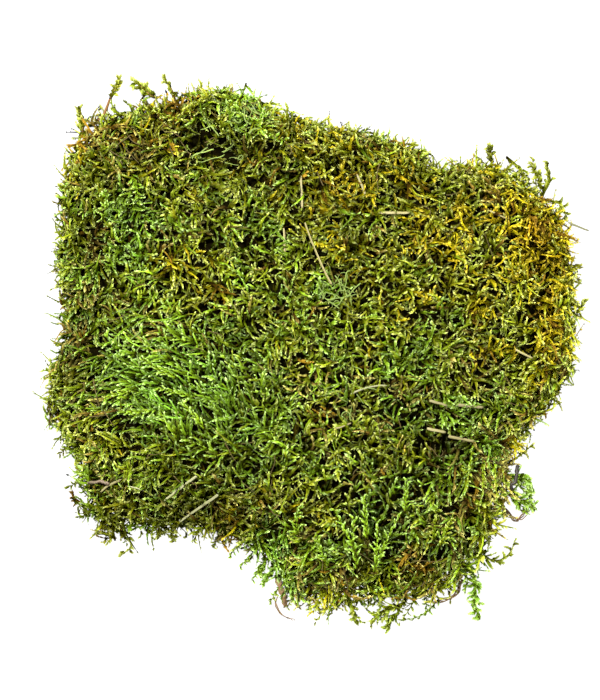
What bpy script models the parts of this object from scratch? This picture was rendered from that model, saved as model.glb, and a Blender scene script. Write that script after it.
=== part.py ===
"""Moss clump: one torn pad of sheet moss with the dry litter that lies on it and the loose sprigs at its rim.

Run with: blender --background --python part.py
Units are metres and +Z is up. The origin is on the flat underside, below the middle of the pad.
The pad is one closed solid that reaches the tips of its shoots. Each straw, needle, twig, bark strip and
rim sprig is a piece of its own that can be lifted away, and lies a small gap clear of the pad.
"""

import math

import bmesh
import bpy
import numpy as np

MM = 0.001

# Driving dimensions of the pad
PAD_THICKNESS = 30 * MM  # underside to shoot tips over most of the pad
RIM_HEIGHT = 8 * MM  # height at which the pad is widest
RIM_UNDERCUT = 0.86  # share of the outline's radius that rests flat on the surface below
SHOULDER_SHARPNESS = 5.0  # how square the rim's shoulder is; 2 would be an ellipse
PAD_SEGMENTS = 80  # points round the pad
PAD_RINGS = 34  # rings from the underside's middle to the top's middle
SETTLE_GAP = 0.5 * MM  # air between a loose piece and the pad
SPRIG_SIDES_LEVEL = 1  # bevel resolution: six sides

# Outline in plan, anticlockwise, in millimetres from the origin
OUTLINE = [
    (133, 6), (132, 36), (129, 60), (117, 77), (101, 89), (84, 94), (64, 93), (48, 104), (20, 112),
    (-13, 120), (-36, 129), (-56, 132), (-78, 126), (-96, 121), (-115, 111), (-126, 90), (-131, 62),
    (-129, 28), (-128, 10), (-134, -12), (-135, -32), (-127, -46), (-121, -58), (-117, -74),
    (-108, -87), (-97, -92), (-84, -88), (-68, -90), (-50, -94), (-32, -101), (-20, -109),
    (-15, -122), (-8, -127), (18, -125), (43, -126), (62, -122), (80, -108), (89, -93), (94, -76),
    (97, -62), (107, -43), (118, -29), (129, -13),
]

# Rises and hollows of the top: x, y, radius and height change, all in millimetres
RELIEF = [
    (92, 40, 46, 5.0), (-78, -8, 40, 4.5), (-60, 60, 48, 3.0), (40, 78, 34, 2.5), (-20, -60, 34, 1.5),
    (30, 10, 30, -4.0), (-57, 103, 9, -7.0), (-40, 98, 9, -5.0), (62, 58, 10, -3.0), (10, -52, 16, -3.5),
    (70, -55, 22, -4.5), (50, -108, 34, -10.0), (84, -78, 22, -6.0), (2, -118, 26, -7.0),
    (-96, -76, 26, -8.0), (-45, -82, 18, -5.0), (-122, -20, 16, -3.0), (-104, 104, 16, -2.0),
    (8, 62, 12, 2.0), (-18, 22, 14, 2.0), (58, -8, 14, 2.0), (112, -6, 16, -2.0),
]

# Loose litter on top: name, colour, thickness, then the points of its line in plan, all in millimetres
LITTER = [
    ("straw_long", "dry_straw", 1.1, [(-5, 63), (1, 47), (8, 33)]),
    ("straw_upper", "dry_straw", 1.2, [(-7, 86), (-6.5, 71)]),
    ("straw_pale_short", "dry_straw", 1.3, [(-15.5, 60), (-15, 49)]),
    ("grass_blade_north", "dry_straw", 1.3, [(21, 87), (25, 77)]),
    ("grass_blade_amber", "dry_straw", 1.6, [(33, 68), (46, 68)]),
    ("straw_east_pale", "dry_straw", 1.0, [(87, 69), (96, 65)]),
    ("straw_east_rim", "dry_straw", 1.2, [(100, 0), (108, -4)]),
    ("straw_southeast_a", "dry_straw", 1.5, [(57, -25), (65, -27.5)]),
    ("straw_southeast_b", "dry_straw", 1.7, [(70, -27), (83, -28.5)]),
    ("straw_southeast_c", "dry_straw", 1.7, [(56, -39), (64.5, -41)]),
    ("straw_southeast_d", "dry_straw", 2.0, [(67, -43), (79, -45.5)]),
    ("straw_middle_grey", "grey_needle", 1.0, [(18, -22), (24, -19), (35, -17.5)]),
    ("straw_middle_low", "dry_straw", 1.2, [(10.5, -39), (17.5, -36.5)]),
    ("straw_southwest_a", "grey_needle", 1.5, [(-75, -75), (-59.5, -63)]),
    ("straw_southwest_b", "grey_needle", 1.4, [(-67.5, -86), (-49, -72.5)]),
    ("straw_southwest_c", "dry_straw", 1.4, [(-107.5, -71), (-99, -65.5), (-92, -65)]),
    ("needle_southwest", "grey_needle", 1.0, [(-94, -68), (-85, -70.5)]),
    ("twig_southwest", "dark_twig", 2.0, [(-114, -66.5), (-103.5, -66.5)]),
]

# Loose sprigs at the rim: name, colour, thickness, then the points of its stem in millimetres
SPRIGS = [
    ("sprig_brown_stem", "moss_sprig", 2.2, [(-107, 117, 12), (-104, 124, 16), (-101, 130, 20), (-97.5, 136, 23)]),
    ("sprig_west_corner", "moss_sprig", 1.8, [(-118, 110, 9), (-117, 115, 11), (-119.5, 122, 14)]),
    ("sprig_north_fork", "moss_sprig", 2.2, [(-83, 128, 12), (-86.5, 132, 14), (-91, 135, 16)]),
    ("sprig_north_curl", "moss_sprig", 1.8, [(-71.5, 129, 12), (-73, 133, 14), (-76, 137, 17)]),
    ("sprig_north_horn", "moss_sprig", 2.6, [(88.5, 95, 14), (88, 99, 18), (87, 101.5, 22)]),
    ("sprig_northeast_a", "moss_sprig", 1.6, [(107, 86, 14), (104, 90.5, 17), (99.5, 94, 20)]),
    ("sprig_northeast_b", "moss_sprig", 1.7, [(114, 81, 12), (112.5, 87, 17), (107.5, 93, 22)]),
    ("sprig_northeast_c", "moss_sprig", 1.7, [(116, 80, 10), (118.5, 86, 14), (116, 94, 20)]),
    ("sprig_northeast_arc", "moss_sprig", 1.6, [(120, 75, 10), (124, 74, 12), (127.5, 67, 9)]),
    ("needle_east", "grey_needle", 1.1, [(128, 64, 14), (138, 60.5, 11)]),
    ("sprig_east_tip", "moss_sprig", 1.7, [(133, 20, 8), (136, 24, 10)]),
    ("sprig_southeast_thin", "moss_sprig", 1.4, [(101.5, -55, 8), (106, -52, 8), (110, -48, 9)]),
    ("twig_southeast", "dark_twig", 2.2, [(102.5, -59, 13), (99.5, -71, 14)]),
    ("tuft_southeast_a", "moss_sprig", 2.0, [(99, -66, 5), (104, -64, 6), (109, -68, 6), (109, -74, 4)]),
    ("tuft_southeast_b", "moss_sprig", 1.8, [(98, -72, 8), (104, -76, 8), (112, -80, 6)]),
    ("root_strands", "dead_stem", 1.7, [(95, -80, 3), (102, -86, 2), (108, -84, 2), (109, -79.5, 2)]),
    ("sprig_southeast_curl", "moss_sprig", 1.7, [(86, -105, 3), (93, -107.5, 3), (99, -104, 3), (102, -97, 3)]),
    ("sprig_south_feather", "moss_sprig", 3.2, [(80, -113, 4), (82, -121, 3.5), (81.5, -129, 3), (84, -136, 2.5)]),
    ("stem_south_loop", "dead_stem", 1.4, [(75, -117, 6), (71.5, -125, 5), (65, -128, 4), (58, -127.5, 4)]),
    ("sprig_south_fan_a", "moss_sprig", 2.6, [(45, -129, 5), (37.5, -131.5, 4), (30, -137, 3)]),
    ("sprig_south_fan_b", "moss_sprig", 2.2, [(43, -133, 4.5), (39.5, -137, 3.5), (37, -141.5, 2.5)]),
    ("sprig_south_blade", "moss_sprig", 2.0, [(18, -127.5, 5), (19.5, -132, 4), (21, -138, 2.5)]),
    ("stem_south_curl", "dead_stem", 2.4, [(11.5, -128, 5), (9.5, -131, 4), (1, -133.5, 3)]),
    ("bark_strip", "bark", 3.6, [(-18.5, -115, 5), (-17, -121, 4.5), (-15, -131, 3.5)]),
    ("root_tail", "dead_stem", 1.0, [(-19.5, -127, 2), (-18.5, -132.5, 1.6), (-15.5, -136, 1.4), (-10, -139, 1.2)]),
    ("sprig_notch_a", "moss_sprig", 2.0, [(-24.5, -107.5, 5), (-27, -111, 4), (-27, -115, 2.5)]),
    ("sprig_notch_b", "moss_sprig", 2.0, [(-20.5, -112.5, 4), (-23.5, -115, 3), (-26, -119, 2)]),
    ("sprig_southwest_tail", "moss_sprig", 1.8, [(-98, -94, 4), (-93.5, -98, 3), (-94, -101, 2.5), (-99, -105, 2)]),
    ("sprig_southwest_hook", "dead_stem", 1.5, [(-109, -90, 4), (-112, -94, 3), (-107, -96, 2.5), (-102, -96, 2)]),
    ("sprig_southwest_a", "moss_sprig", 1.6, [(-80, -90.5, 5), (-79, -94.5, 3)]),
    ("sprig_southwest_b", "moss_sprig", 1.6, [(-75.5, -91, 5), (-73, -93, 4), (-71.5, -97, 2.5)]),
    ("sprig_west_dark", "dead_stem", 1.8, [(-117.5, -78, 5), (-120.5, -77, 4), (-124, -73, 3)]),
]

# Name: colour (linear RGB), roughness
FINISHES = {
    "moss_pad": ((0.13, 0.15, 0.02), 0.7),
    "moss_sprig": ((0.19, 0.25, 0.03), 0.55),
    "dead_stem": ((0.16, 0.09, 0.03), 0.75),
    "dry_straw": ((0.46, 0.39, 0.18), 0.5),
    "grey_needle": ((0.33, 0.31, 0.19), 0.5),
    "dark_twig": ((0.09, 0.065, 0.04), 0.8),
    "bark": ((0.25, 0.15, 0.1), 0.8),
}


def closed_spline(points, steps):
    """Catmull-Rom curve through a closed ring of points, with this many steps between neighbours."""
    p = np.array(points, float)
    a, b, c, d = np.roll(p, 1, 0), p, np.roll(p, -1, 0), np.roll(p, -2, 0)
    return np.concatenate([catmull_rom(a, b, c, d, t) for t in np.arange(steps) / steps], axis=1).reshape(-1, 2)


def open_spline(points, steps):
    """Catmull-Rom curve through an open row of points, both ends included."""
    p = np.array(points, float)
    p = np.vstack([2 * p[0] - p[1], p, 2 * p[-1] - p[-2]])
    spans = [
        catmull_rom(p[i], p[i + 1], p[i + 2], p[i + 3], t)
        for i in range(len(p) - 3)
        for t in np.arange(steps) / steps
    ]
    return np.vstack([*spans, p[-2]])


def catmull_rom(a, b, c, d, t):
    """The point at share t between b and c, on the curve through a, b, c and d."""
    return 0.5 * (2 * b + (c - a) * t + (2 * a - 5 * b + 4 * c - d) * t**2 + (3 * b - a - 3 * c + d) * t**3)


def outline_table():
    """Angle and radius, in metres, all round the outline. The outline is star-shaped about the origin."""
    ring = closed_spline(OUTLINE, 8) * MM
    angle = np.unwrap(np.arctan2(ring[:, 1], ring[:, 0]))
    return angle, np.hypot(ring[:, 0], ring[:, 1])


OUTLINE_ANGLE, OUTLINE_RADIUS = outline_table()


def rim_radius(angle):
    """Distance from the origin to the rim in this direction."""
    return float(np.interp(angle, OUTLINE_ANGLE, OUTLINE_RADIUS, period=math.tau))


def open_height(x, y):
    """Height of the pad's top away from its rim: the thickness with its rises and hollows."""
    height = PAD_THICKNESS
    for bump_x, bump_y, radius, rise in RELIEF:
        away = ((x / MM - bump_x) ** 2 + (y / MM - bump_y) ** 2) / radius**2
        height += rise * MM * math.exp(-away)
    return height


def top_height(x, y):
    """Height of the pad's top, rounded off to the rim like a superellipse."""
    share = min(1.0, math.hypot(x, y) / rim_radius(math.atan2(y, x)))
    rounding = (1 - share**SHOULDER_SHARPNESS) ** (1 / 2)
    return RIM_HEIGHT + (open_height(x, y) - RIM_HEIGHT) * rounding


def clear_collection(name):
    """Removes every object, then makes the collection that the object's pieces go in."""
    for obj in list(bpy.data.objects):
        bpy.data.objects.remove(obj)
    collection = bpy.data.collections.new(name)
    bpy.context.scene.collection.children.link(collection)
    return collection


def make_finish(name):
    """A Principled material of that finish's colour and roughness."""
    colour, roughness = FINISHES[name]
    material = bpy.data.materials.new(name)
    material.use_nodes = True
    shader = material.node_tree.nodes["Principled BSDF"]
    shader.inputs["Base Color"].default_value = (*colour, 1)
    shader.inputs["Roughness"].default_value = roughness
    shader.inputs["Metallic"].default_value = 0
    return material


def pad_point(direction):
    """Where a point of the unit sphere goes on the pad: the top half is domed, the lower half tucks under flat."""
    x, y, z = direction
    angle = math.atan2(y, x)
    turn = math.atan2(abs(z), math.hypot(x, y)) / (math.pi / 2)  # 0 at the rim, 1 at the pole
    rim = rim_radius(angle)
    if z >= 0:
        share = 1 - turn**1.25
        px, py = share * rim * math.cos(angle), share * rim * math.sin(angle)
        return px, py, top_height(px, py)
    tuck = min(1.0, turn / 0.18)
    share = (1 - (1 - RIM_UNDERCUT) * tuck) * min(1.0, (1 - turn) / 0.82)
    height = RIM_HEIGHT * (1 - tuck) ** 2
    return share * rim * math.cos(angle), share * rim * math.sin(angle), height


def make_pad(collection, finish):
    """The pad: a sphere's points moved onto its outline, domed top and flat underside."""
    mesh = bpy.data.meshes.new("moss_pad")
    shape = bmesh.new()
    bmesh.ops.create_uvsphere(shape, u_segments=PAD_SEGMENTS, v_segments=PAD_RINGS, radius=1)
    for vertex in shape.verts:
        vertex.co = pad_point(vertex.co)
    bmesh.ops.recalc_face_normals(shape, faces=shape.faces)
    shape.to_mesh(mesh)
    shape.free()
    mesh.shade_smooth()
    mesh.materials.append(finish)
    pad = bpy.data.objects.new("moss_pad", mesh)
    collection.objects.link(pad)
    return pad


def make_stem(collection, name, finish, path, thickness, tip_share):
    """A round stem along a path, in metres, that narrows towards its far end."""
    curve = bpy.data.curves.new(name, "CURVE")
    curve.dimensions = "3D"
    curve.bevel_depth = thickness / 2
    curve.bevel_resolution = SPRIG_SIDES_LEVEL
    curve.use_fill_caps = True
    spline = curve.splines.new("POLY")
    spline.points.add(len(path) - 1)
    for i, (point, place) in enumerate(zip(spline.points, path)):
        point.co = (*place, 1)
        point.radius = 1 - (1 - tip_share) * (i / (len(path) - 1)) ** 2
    curve.materials.append(finish)
    stem = bpy.data.objects.new(name, curve)
    collection.objects.link(stem)
    return stem


def settled_path(points, thickness):
    """A stiff stalk's path in metres: its plan line, lifted evenly until it lies clear on top of the pad."""
    plan = open_spline(points, 4) * MM
    share = np.linspace(0, 1, len(plan))
    ends = [top_height(*plan[0]), top_height(*plan[-1])]
    line = ends[0] + (ends[1] - ends[0]) * share
    probe = np.array([top_height(*p) for p in open_spline(points, 12) * MM])
    lift = (probe - np.interp(np.linspace(0, 1, len(probe)), share, line)).max()
    return np.column_stack([plan, line + lift + thickness / 2 + SETTLE_GAP])


def clear_of_rim(point, thickness):
    """The point moved straight out, if need be, until a stem through it clears the rim."""
    x, y, z = point
    angle = math.atan2(y, x)
    least = rim_radius(angle) + thickness / 2 + SETTLE_GAP
    grow = max(1.0, least / math.hypot(x, y))
    return x * grow, y * grow, max(z, thickness / 2)


def make_litter(collection, finishes):
    """Every straw, needle and twig on top of the pad."""
    for name, finish, thickness, points in LITTER:
        path = settled_path(points, thickness * MM)
        make_stem(collection, name, finishes[finish], path, thickness * MM, tip_share=0.75)


def make_sprigs(collection, finishes):
    """Every loose sprig, root and strip at the rim. Its thickness is that of its leaves."""
    for name, finish, thickness, points in SPRIGS:
        path = [clear_of_rim(p, thickness * MM) for p in open_spline(points, 3) * MM]
        make_stem(collection, name, finishes[finish], path, thickness * MM, tip_share=0.45)


def main():
    """Builds the pad, the litter on it and the sprigs round it."""
    collection = clear_collection("moss_clump")
    finishes = {name: make_finish(name) for name in FINISHES}
    make_pad(collection, finishes["moss_pad"])
    make_litter(collection, finishes)
    make_sprigs(collection, finishes)


main()
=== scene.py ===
"""A torn pad of sheet moss, dressed round its fixed frame: shoots, dead undergrowth, loose sprigs, litter."""

import logging
from dataclasses import dataclass, fields, replace
from enum import Enum
from typing import Callable

import bpy
import numpy as np
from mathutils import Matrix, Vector


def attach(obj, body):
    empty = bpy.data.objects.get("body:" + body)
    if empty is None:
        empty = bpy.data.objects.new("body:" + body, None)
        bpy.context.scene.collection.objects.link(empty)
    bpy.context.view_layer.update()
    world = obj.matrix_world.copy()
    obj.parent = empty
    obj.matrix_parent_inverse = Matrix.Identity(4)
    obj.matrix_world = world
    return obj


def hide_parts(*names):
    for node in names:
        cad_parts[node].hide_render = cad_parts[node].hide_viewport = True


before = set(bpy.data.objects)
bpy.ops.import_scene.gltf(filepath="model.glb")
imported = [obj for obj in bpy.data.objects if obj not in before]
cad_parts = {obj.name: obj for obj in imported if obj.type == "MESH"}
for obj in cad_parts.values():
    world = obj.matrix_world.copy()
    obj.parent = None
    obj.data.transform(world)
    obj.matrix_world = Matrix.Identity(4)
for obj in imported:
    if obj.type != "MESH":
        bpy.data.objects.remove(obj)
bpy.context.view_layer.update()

Array = np.ndarray
Colour = tuple[float, float, float]
Stops = tuple[tuple[float, Colour], ...]
MM = 0.001
BODY = "root"
PAD = "moss_pad"
UP = np.array([0.0, 0.0, 1.0])
TURNS = 360
CLEARANCE = 0.3 * MM
log = logging.getLogger("moss")


# ---------------------------------------------------------------- arithmetic on arrays


def unit(vectors: Array) -> Array:
    """Vectors divided by their own length."""
    return vectors / np.maximum(np.linalg.norm(vectors, axis=-1, keepdims=True), 1e-12)


def blend(low: Array | float, high: Array | float, share: Array | float) -> Array:
    """The value that lies a share of the way from low to high."""
    return low + (high - low) * share


def smooth_step(value: Array) -> Array:
    """3v^2 - 2v^3 of the value held between 0 and 1."""
    held = np.clip(value, 0.0, 1.0)
    return held * held * (3.0 - 2.0 * held)


def compass(azimuth: Array) -> Array:
    """Level unit vectors: cosine of the azimuth along X, sine along Y."""
    return np.stack([np.cos(azimuth), np.sin(azimuth), np.zeros_like(azimuth)], -1)


def across(vectors: Array, normals: Array) -> Array:
    """Vectors less their part along the normals, made unit length."""
    return unit(vectors - normals * np.sum(vectors * normals, -1, keepdims=True))


@dataclass(frozen=True)
class Drift:
    """Soft random variation over the plan, from random numbers on a square lattice."""

    pitch: float
    seed: int
    lattice: int = 96

    def __call__(self, spots: Array) -> Array:
        """The lattice numbers round each spot, joined by a smooth step along X and along Y.

        Args:
            spots: points, one a row, of which X and Y are read.

        Returns:
            One number from 0 to 1 for each spot.
        """
        numbers = np.random.default_rng(self.seed).random((self.lattice, self.lattice))
        place = spots[:, :2] / self.pitch + self.lattice / 2
        cell = np.floor(place).astype(int)
        share = smooth_step(place - cell)
        i, j = (cell % self.lattice).T
        i_next, j_next = (i + 1) % self.lattice, (j + 1) % self.lattice
        near = blend(numbers[i, j], numbers[i_next, j], share[:, 0])
        far = blend(numbers[i, j_next], numbers[i_next, j_next], share[:, 0])
        return blend(near, far, share[:, 1])


# ---------------------------------------------------------------- materials


class Level:
    """A number that varies over a surface: a socket with arithmetic that adds Math nodes."""

    def __init__(self, sheet: "NodeSheet", socket: bpy.types.NodeSocket) -> None:
        """Keeps the node sheet that the socket is on."""
        self.sheet = sheet
        self.socket = socket

    def _math(self, operation: str, first: object, second: object, held: bool = False) -> "Level":
        """A Math node of that operation on two levels or numbers."""
        settings = {"operation": operation, "use_clamp": held}
        return Level(self.sheet, self.sheet.node("Math", settings, {0: first, 1: second}))

    def __add__(self, other: object) -> "Level":
        """self + other."""
        return self._math("ADD", self, other)

    __radd__ = __add__

    def __sub__(self, other: object) -> "Level":
        """self - other."""
        return self._math("SUBTRACT", self, other)

    def __rsub__(self, other: object) -> "Level":
        """other - self."""
        return self._math("SUBTRACT", other, self)

    def __mul__(self, other: object) -> "Level":
        """self * other."""
        return self._math("MULTIPLY", self, other)

    __rmul__ = __mul__

    def __pow__(self, other: object) -> "Level":
        """self to the power of other."""
        return self._math("POWER", self, other)

    def held(self) -> "Level":
        """The level kept between 0 and 1."""
        return self._math("ADD", self, 0.0, held=True)


class NodeSheet:
    """The node tree of one material, which ends in one Principled shader."""

    def __init__(self, name: str) -> None:
        """Starts a material of that name with an empty tree.

        Args:
            name: the material's name.
        """
        self.material = bpy.data.materials.new(name)
        self.material.use_nodes = True
        self.tree = self.material.node_tree
        self.tree.nodes.clear()

    def node(self, kind: str, settings: dict, inputs: dict, output: int | str = 0) -> bpy.types.NodeSocket:
        """Adds any shader node.

        Args:
            kind: the node's type without its ShaderNode prefix.
            settings: its properties, set first; "stops" holds a ramp's (position, colour) pairs.
            inputs: a value, a socket or a Level for each socket, by name or number.
            output: which of its sockets to return.

        Returns:
            The output socket.
        """
        made = self.tree.nodes.new("ShaderNode" + kind)
        for name, value in settings.items():
            if name == "stops":
                set_stops(made.color_ramp, value)
            else:
                setattr(made, name, value)
        for name, value in inputs.items():
            source = value.socket if isinstance(value, Level) else value
            if isinstance(source, bpy.types.NodeSocket):
                self.tree.links.new(source, made.inputs[name])
            else:
                made.inputs[name].default_value = source
        return made.outputs[output] if made.outputs else None

    def level(self, kind: str, settings: dict, inputs: dict, output: int | str = 0) -> Level:
        """Any node's output as a Level."""
        return Level(self, self.node(kind, settings, inputs, output))

    def attribute(self, name: str) -> Level:
        """A number stored on the mesh."""
        return self.level("Attribute", {"attribute_name": name}, {}, "Fac")

    def noise(self, scale: float, detail: float = 2.0) -> Level:
        """Noise on Object coordinates, with about so many blots to a metre."""
        place = self.node("TexCoord", {}, {}, "Object")
        return self.level("TexNoise", {}, {"Vector": place, "Scale": scale, "Detail": detail}, "Fac")

    def cells(self, scale: float) -> Level:
        """Distance to the middle of each Voronoi cell, with about so many cells to a metre."""
        place = self.node("TexCoord", {}, {}, "Object")
        return self.level("TexVoronoi", {}, {"Vector": place, "Scale": scale}, "Distance")

    def ramp(self, level: Level, stops: Stops) -> bpy.types.NodeSocket:
        """A colour for each value of the level."""
        return self.node("ValToRGB", {"stops": stops}, {"Fac": level}, "Color")

    def mix(self, first: object, second: object, share: object, way: str = "MIX") -> bpy.types.NodeSocket:
        """Two colours mixed by a share."""
        settings = {"data_type": "RGBA", "blend_type": way}
        return self.node("Mix", settings, {0: share, 6: first, 7: second}, 2)

    def grey(self, level: Level) -> bpy.types.NodeSocket:
        """The level as a grey colour, for a Mix node that multiplies."""
        return self.ramp(level, ((0.0, (0.0, 0.0, 0.0)), (1.0, (1.0, 1.0, 1.0))))

    def bump(self, height: Level, distance: float, strength: float = 1.0) -> bpy.types.NodeSocket:
        """A normal tilted by the slope of a height whose full range stands so many metres."""
        return self.node("Bump", {}, {"Height": height, "Distance": distance, "Strength": strength}, "Normal")

    def finish(self, sockets: dict) -> bpy.types.Material:
        """Ends the tree in a Principled shader with these sockets and returns the material.

        Args:
            sockets: a value, a socket or a Level for each of the shader's sockets.

        Returns:
            The material.
        """
        shader = self.node("BsdfPrincipled", {}, sockets)
        self.node("OutputMaterial", {}, {"Surface": shader})
        return self.material


def set_stops(ramp: bpy.types.ColorRamp, stops: Stops) -> None:
    """Gives a ramp its stops, from the lowest position to the highest.

    Args:
        ramp: the ramp.
        stops: a position and a colour each.
    """
    while len(ramp.elements) < len(stops):
        ramp.elements.new(1.0)
    for element, (position, colour) in zip(ramp.elements, stops):
        element.position = position
        element.color = (*colour, 1.0)


@dataclass(frozen=True)
class MossFinish:
    """Living or dying leafy shoots: dark at the foot (dead stem and painted shade), pale at the leaf tips
    with a painted highlight, drier with age.
    """

    name: str
    young: Colour
    old: Colour
    # tip: the pale leaf tip, whose colour also paints the highlight that gloss 0 leaves out
    tip: Colour
    # foot: dead lower stem, darkened near black as painted shade
    foot: Colour = (0.010, 0.008, 0.0005)
    tip_share: float = 0.80
    roughness: float = 0.50
    gloss: float = 0.0

    def material(self) -> bpy.types.Material:
        """The shoot's own colour by age, darkened to its foot as dead stem and painted shade, with painted
        shade between the leaves and a painted highlight on each leaf's tip.

        Returns:
            The material.
        """
        sheet = NodeSheet(self.name)
        age, along = sheet.attribute("age"), sheet.attribute("along")
        crest, light = sheet.attribute("crest"), sheet.attribute("light")
        fine, broad = sheet.noise(1350.0, 3.0), sheet.noise(260.0, 2.0)
        leaf = sheet.ramp((age + (broad - 0.5) * 0.5).held(), ((0.0, self.young), (1.0, self.old)))
        # Painted highlight: the pale tip colour on the outer leaf points, strongest towards the shoot's end.
        leaf = sheet.mix(leaf, (*self.tip, 1.0), (along ** 1.6 * crest * crest * self.tip_share).held())
        # Dark foot: dead lower stem, and painted shade where the shoots crowd.
        leaf = sheet.mix((*self.foot, 1.0), leaf, (along * 2.3 - 0.10 + (fine - 0.5) * 0.7).held())
        # Painted shade: leaf bases and the core are darker than the leaf points, as shade between the leaves.
        painted_cavity_shade = 0.28 + crest * 0.72
        painted_light_and_tone = (painted_cavity_shade * light * (0.42 + fine * 1.20)).held()
        leaf = sheet.mix(leaf, sheet.grey(painted_light_and_tone), 1.0, "MULTIPLY")
        return sheet.finish({
            "Base Color": leaf,
            "Roughness": (self.roughness + (fine - 0.5) * 0.35 + (1.0 - along) * 0.20).held(),
            "Specular IOR Level": self.gloss,
            "Normal": sheet.bump(fine, 0.12 * MM, 0.6),
        })


@dataclass(frozen=True)
class FibreFinish:
    """Dead plant stuff, such as straw, needles, stems and bark, with fine streaks along the grain."""

    name: str
    pale: Colour
    dark: Colour
    stain: Colour
    stain_share: float = 0.35
    roughness: float = 0.60
    gloss: float = 0.30
    relief: float = 0.15

    def material(self) -> bpy.types.Material:
        """Streaks by the grain attribute, blots of stain, and a slight relief that follows both.

        Returns:
            The material.
        """
        sheet = NodeSheet(self.name)
        grain, light = sheet.attribute("grain"), sheet.attribute("light")
        fine, broad = sheet.noise(1500.0, 3.0), sheet.noise(190.0, 2.0)
        streak = (grain * 0.65 + fine * 0.35).held()
        colour = sheet.ramp(streak, ((0.15, self.dark), (0.75, self.pale)))
        stained = ((broad - 0.42) * 3.0).held() * self.stain_share
        colour = sheet.mix(colour, (*self.stain, 1.0), stained)
        colour = sheet.mix(colour, sheet.grey(light), 1.0, "MULTIPLY")
        return sheet.finish({
            "Base Color": colour,
            "Roughness": (self.roughness + (fine - 0.5) * 0.30).held(),
            "Specular IOR Level": self.gloss,
            "Normal": sheet.bump(streak, self.relief * MM, 0.7),
        })


@dataclass(frozen=True)
class HumusFinish:
    """The mat of old shoots and crumbs under the living layer, near black on top as painted shade of the
    gaps.
    """

    name: str = "humus_mat"
    # Painted shade: the top's colours are near black, darker than the mat itself, to stand for the shade in
    # the gaps between shoots.
    dark: Colour = (0.002, 0.0016, 0.0005)
    brown: Colour = (0.0035, 0.0025, 0.0006)
    green: Colour = (0.0028, 0.0045, 0.0006)
    soil_dark: Colour = (0.030, 0.018, 0.008)
    soil_pale: Colour = (0.125, 0.082, 0.040)

    def material(self) -> bpy.types.Material:
        """Crumbs of brown and dull green over near black on top, painted shade of the gaps between shoots,
        and dry brown soil below.

        Returns:
            The material.
        """
        sheet = NodeSheet(self.name)
        crumbs, fine, broad = sheet.cells(420.0), sheet.noise(900.0, 4.0), sheet.noise(90.0, 2.0)
        colour = sheet.ramp((fine * 1.3 - crumbs * 0.5).held(), ((0.25, self.dark), (0.7, self.brown)))
        colour = sheet.mix(colour, (*self.green, 1.0), ((broad - 0.45) * 2.5).held() * 0.6)
        soil_stops = ((0.25, self.soil_dark), (0.75, self.soil_pale))
        soil = sheet.ramp((fine * 1.2 - crumbs * 0.4).held(), soil_stops)
        colour = sheet.mix(colour, soil, sheet.attribute("below"))
        return sheet.finish({
            "Base Color": colour,
            "Roughness": (0.82 + (fine - 0.5) * 0.3).held(),
            "Specular IOR Level": 0.0,
            "Normal": sheet.bump(fine - crumbs * 0.6, 1.2 * MM),
        })


@dataclass(frozen=True)
class FloorFinish:
    """A plain white table."""

    name: str = "white_table"
    white: Colour = (0.06, 0.06, 0.06)
    paler: Colour = (0.08, 0.08, 0.08)
    glow: float = 1.0

    def material(self) -> bpy.types.Material:
        """Matt white with the faintest mottle, and a little glow as from a light table.

        Returns:
            The material.
        """
        sheet = NodeSheet(self.name)
        mottle = sheet.noise(14.0, 2.0)
        white = sheet.mix((*self.white, 1.0), (*self.paler, 1.0), mottle)
        return sheet.finish({
            "Base Color": white,
            "Roughness": 0.9,
            "Specular IOR Level": 0.0,
            "Emission Color": (1.0, 1.0, 1.0, 1.0),
            "Emission Strength": self.glow,
        })


class MossKind(Enum):
    """The kinds of shoot that grow through each other in the pad."""

    # Each kind: young and old leaf colours, then the pale tip colour, which also paints the highlight.
    FRESH = MossFinish("fresh_moss", (0.105, 0.240, 0.008), (0.170, 0.270, 0.004), (0.540, 0.670, 0.300))
    OLIVE = MossFinish("olive_moss", (0.156, 0.224, 0.003), (0.224, 0.218, 0.003), (0.580, 0.610, 0.240))
    GOLDEN = MossFinish("golden_moss", (0.290, 0.255, 0.002), (0.305, 0.170, 0.002), (0.680, 0.540, 0.090))
    FADED = MossFinish("faded_moss", (0.320, 0.330, 0.060), (0.170, 0.100, 0.010), (0.580, 0.580, 0.200),
                       foot=(0.030, 0.016, 0.004))
    BROWN = MossFinish("brown_moss", (0.165, 0.098, 0.006), (0.095, 0.045, 0.004), (0.340, 0.240, 0.040),
                       foot=(0.020, 0.010, 0.002))


HUMUS = HumusFinish()
# Painted shade: the old stems under the living layer are near black, darker than dead stems are, for the
# shade they lie in.
OLD_STEM = FibreFinish("old_stem", (0.042, 0.030, 0.002), (0.008, 0.005, 0.001), (0.030, 0.036, 0.001),
                       gloss=0.0)
FELT = FibreFinish("brown_felt", (0.150, 0.100, 0.045), (0.050, 0.030, 0.013), (0.100, 0.100, 0.040),
                   gloss=0.05)
STRAW = FibreFinish("dry_straw", (0.240, 0.215, 0.085), (0.105, 0.085, 0.030), (0.130, 0.085, 0.022))
NEEDLE = FibreFinish("grey_needle", (0.210, 0.210, 0.100), (0.085, 0.085, 0.038), (0.120, 0.115, 0.040))
TWIG = FibreFinish("dark_twig", (0.130, 0.090, 0.055), (0.020, 0.014, 0.010), (0.080, 0.090, 0.040),
                   relief=0.3)
STALK = FibreFinish("red_stalk", (0.170, 0.085, 0.028), (0.060, 0.026, 0.009), (0.130, 0.110, 0.030),
                    gloss=0.10)
WIRE = FibreFinish("wiry_stem", (0.080, 0.058, 0.018), (0.022, 0.014, 0.004), (0.060, 0.066, 0.016),
                   gloss=0.10)
PALE_WIRE = FibreFinish("pale_wire", (0.190, 0.260, 0.060), (0.070, 0.098, 0.020), (0.115, 0.140, 0.022),
                        gloss=0.10)
BARK = FibreFinish("bark_strip", (0.135, 0.078, 0.026), (0.042, 0.020, 0.006), (0.110, 0.078, 0.022),
                   relief=0.3)


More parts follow.
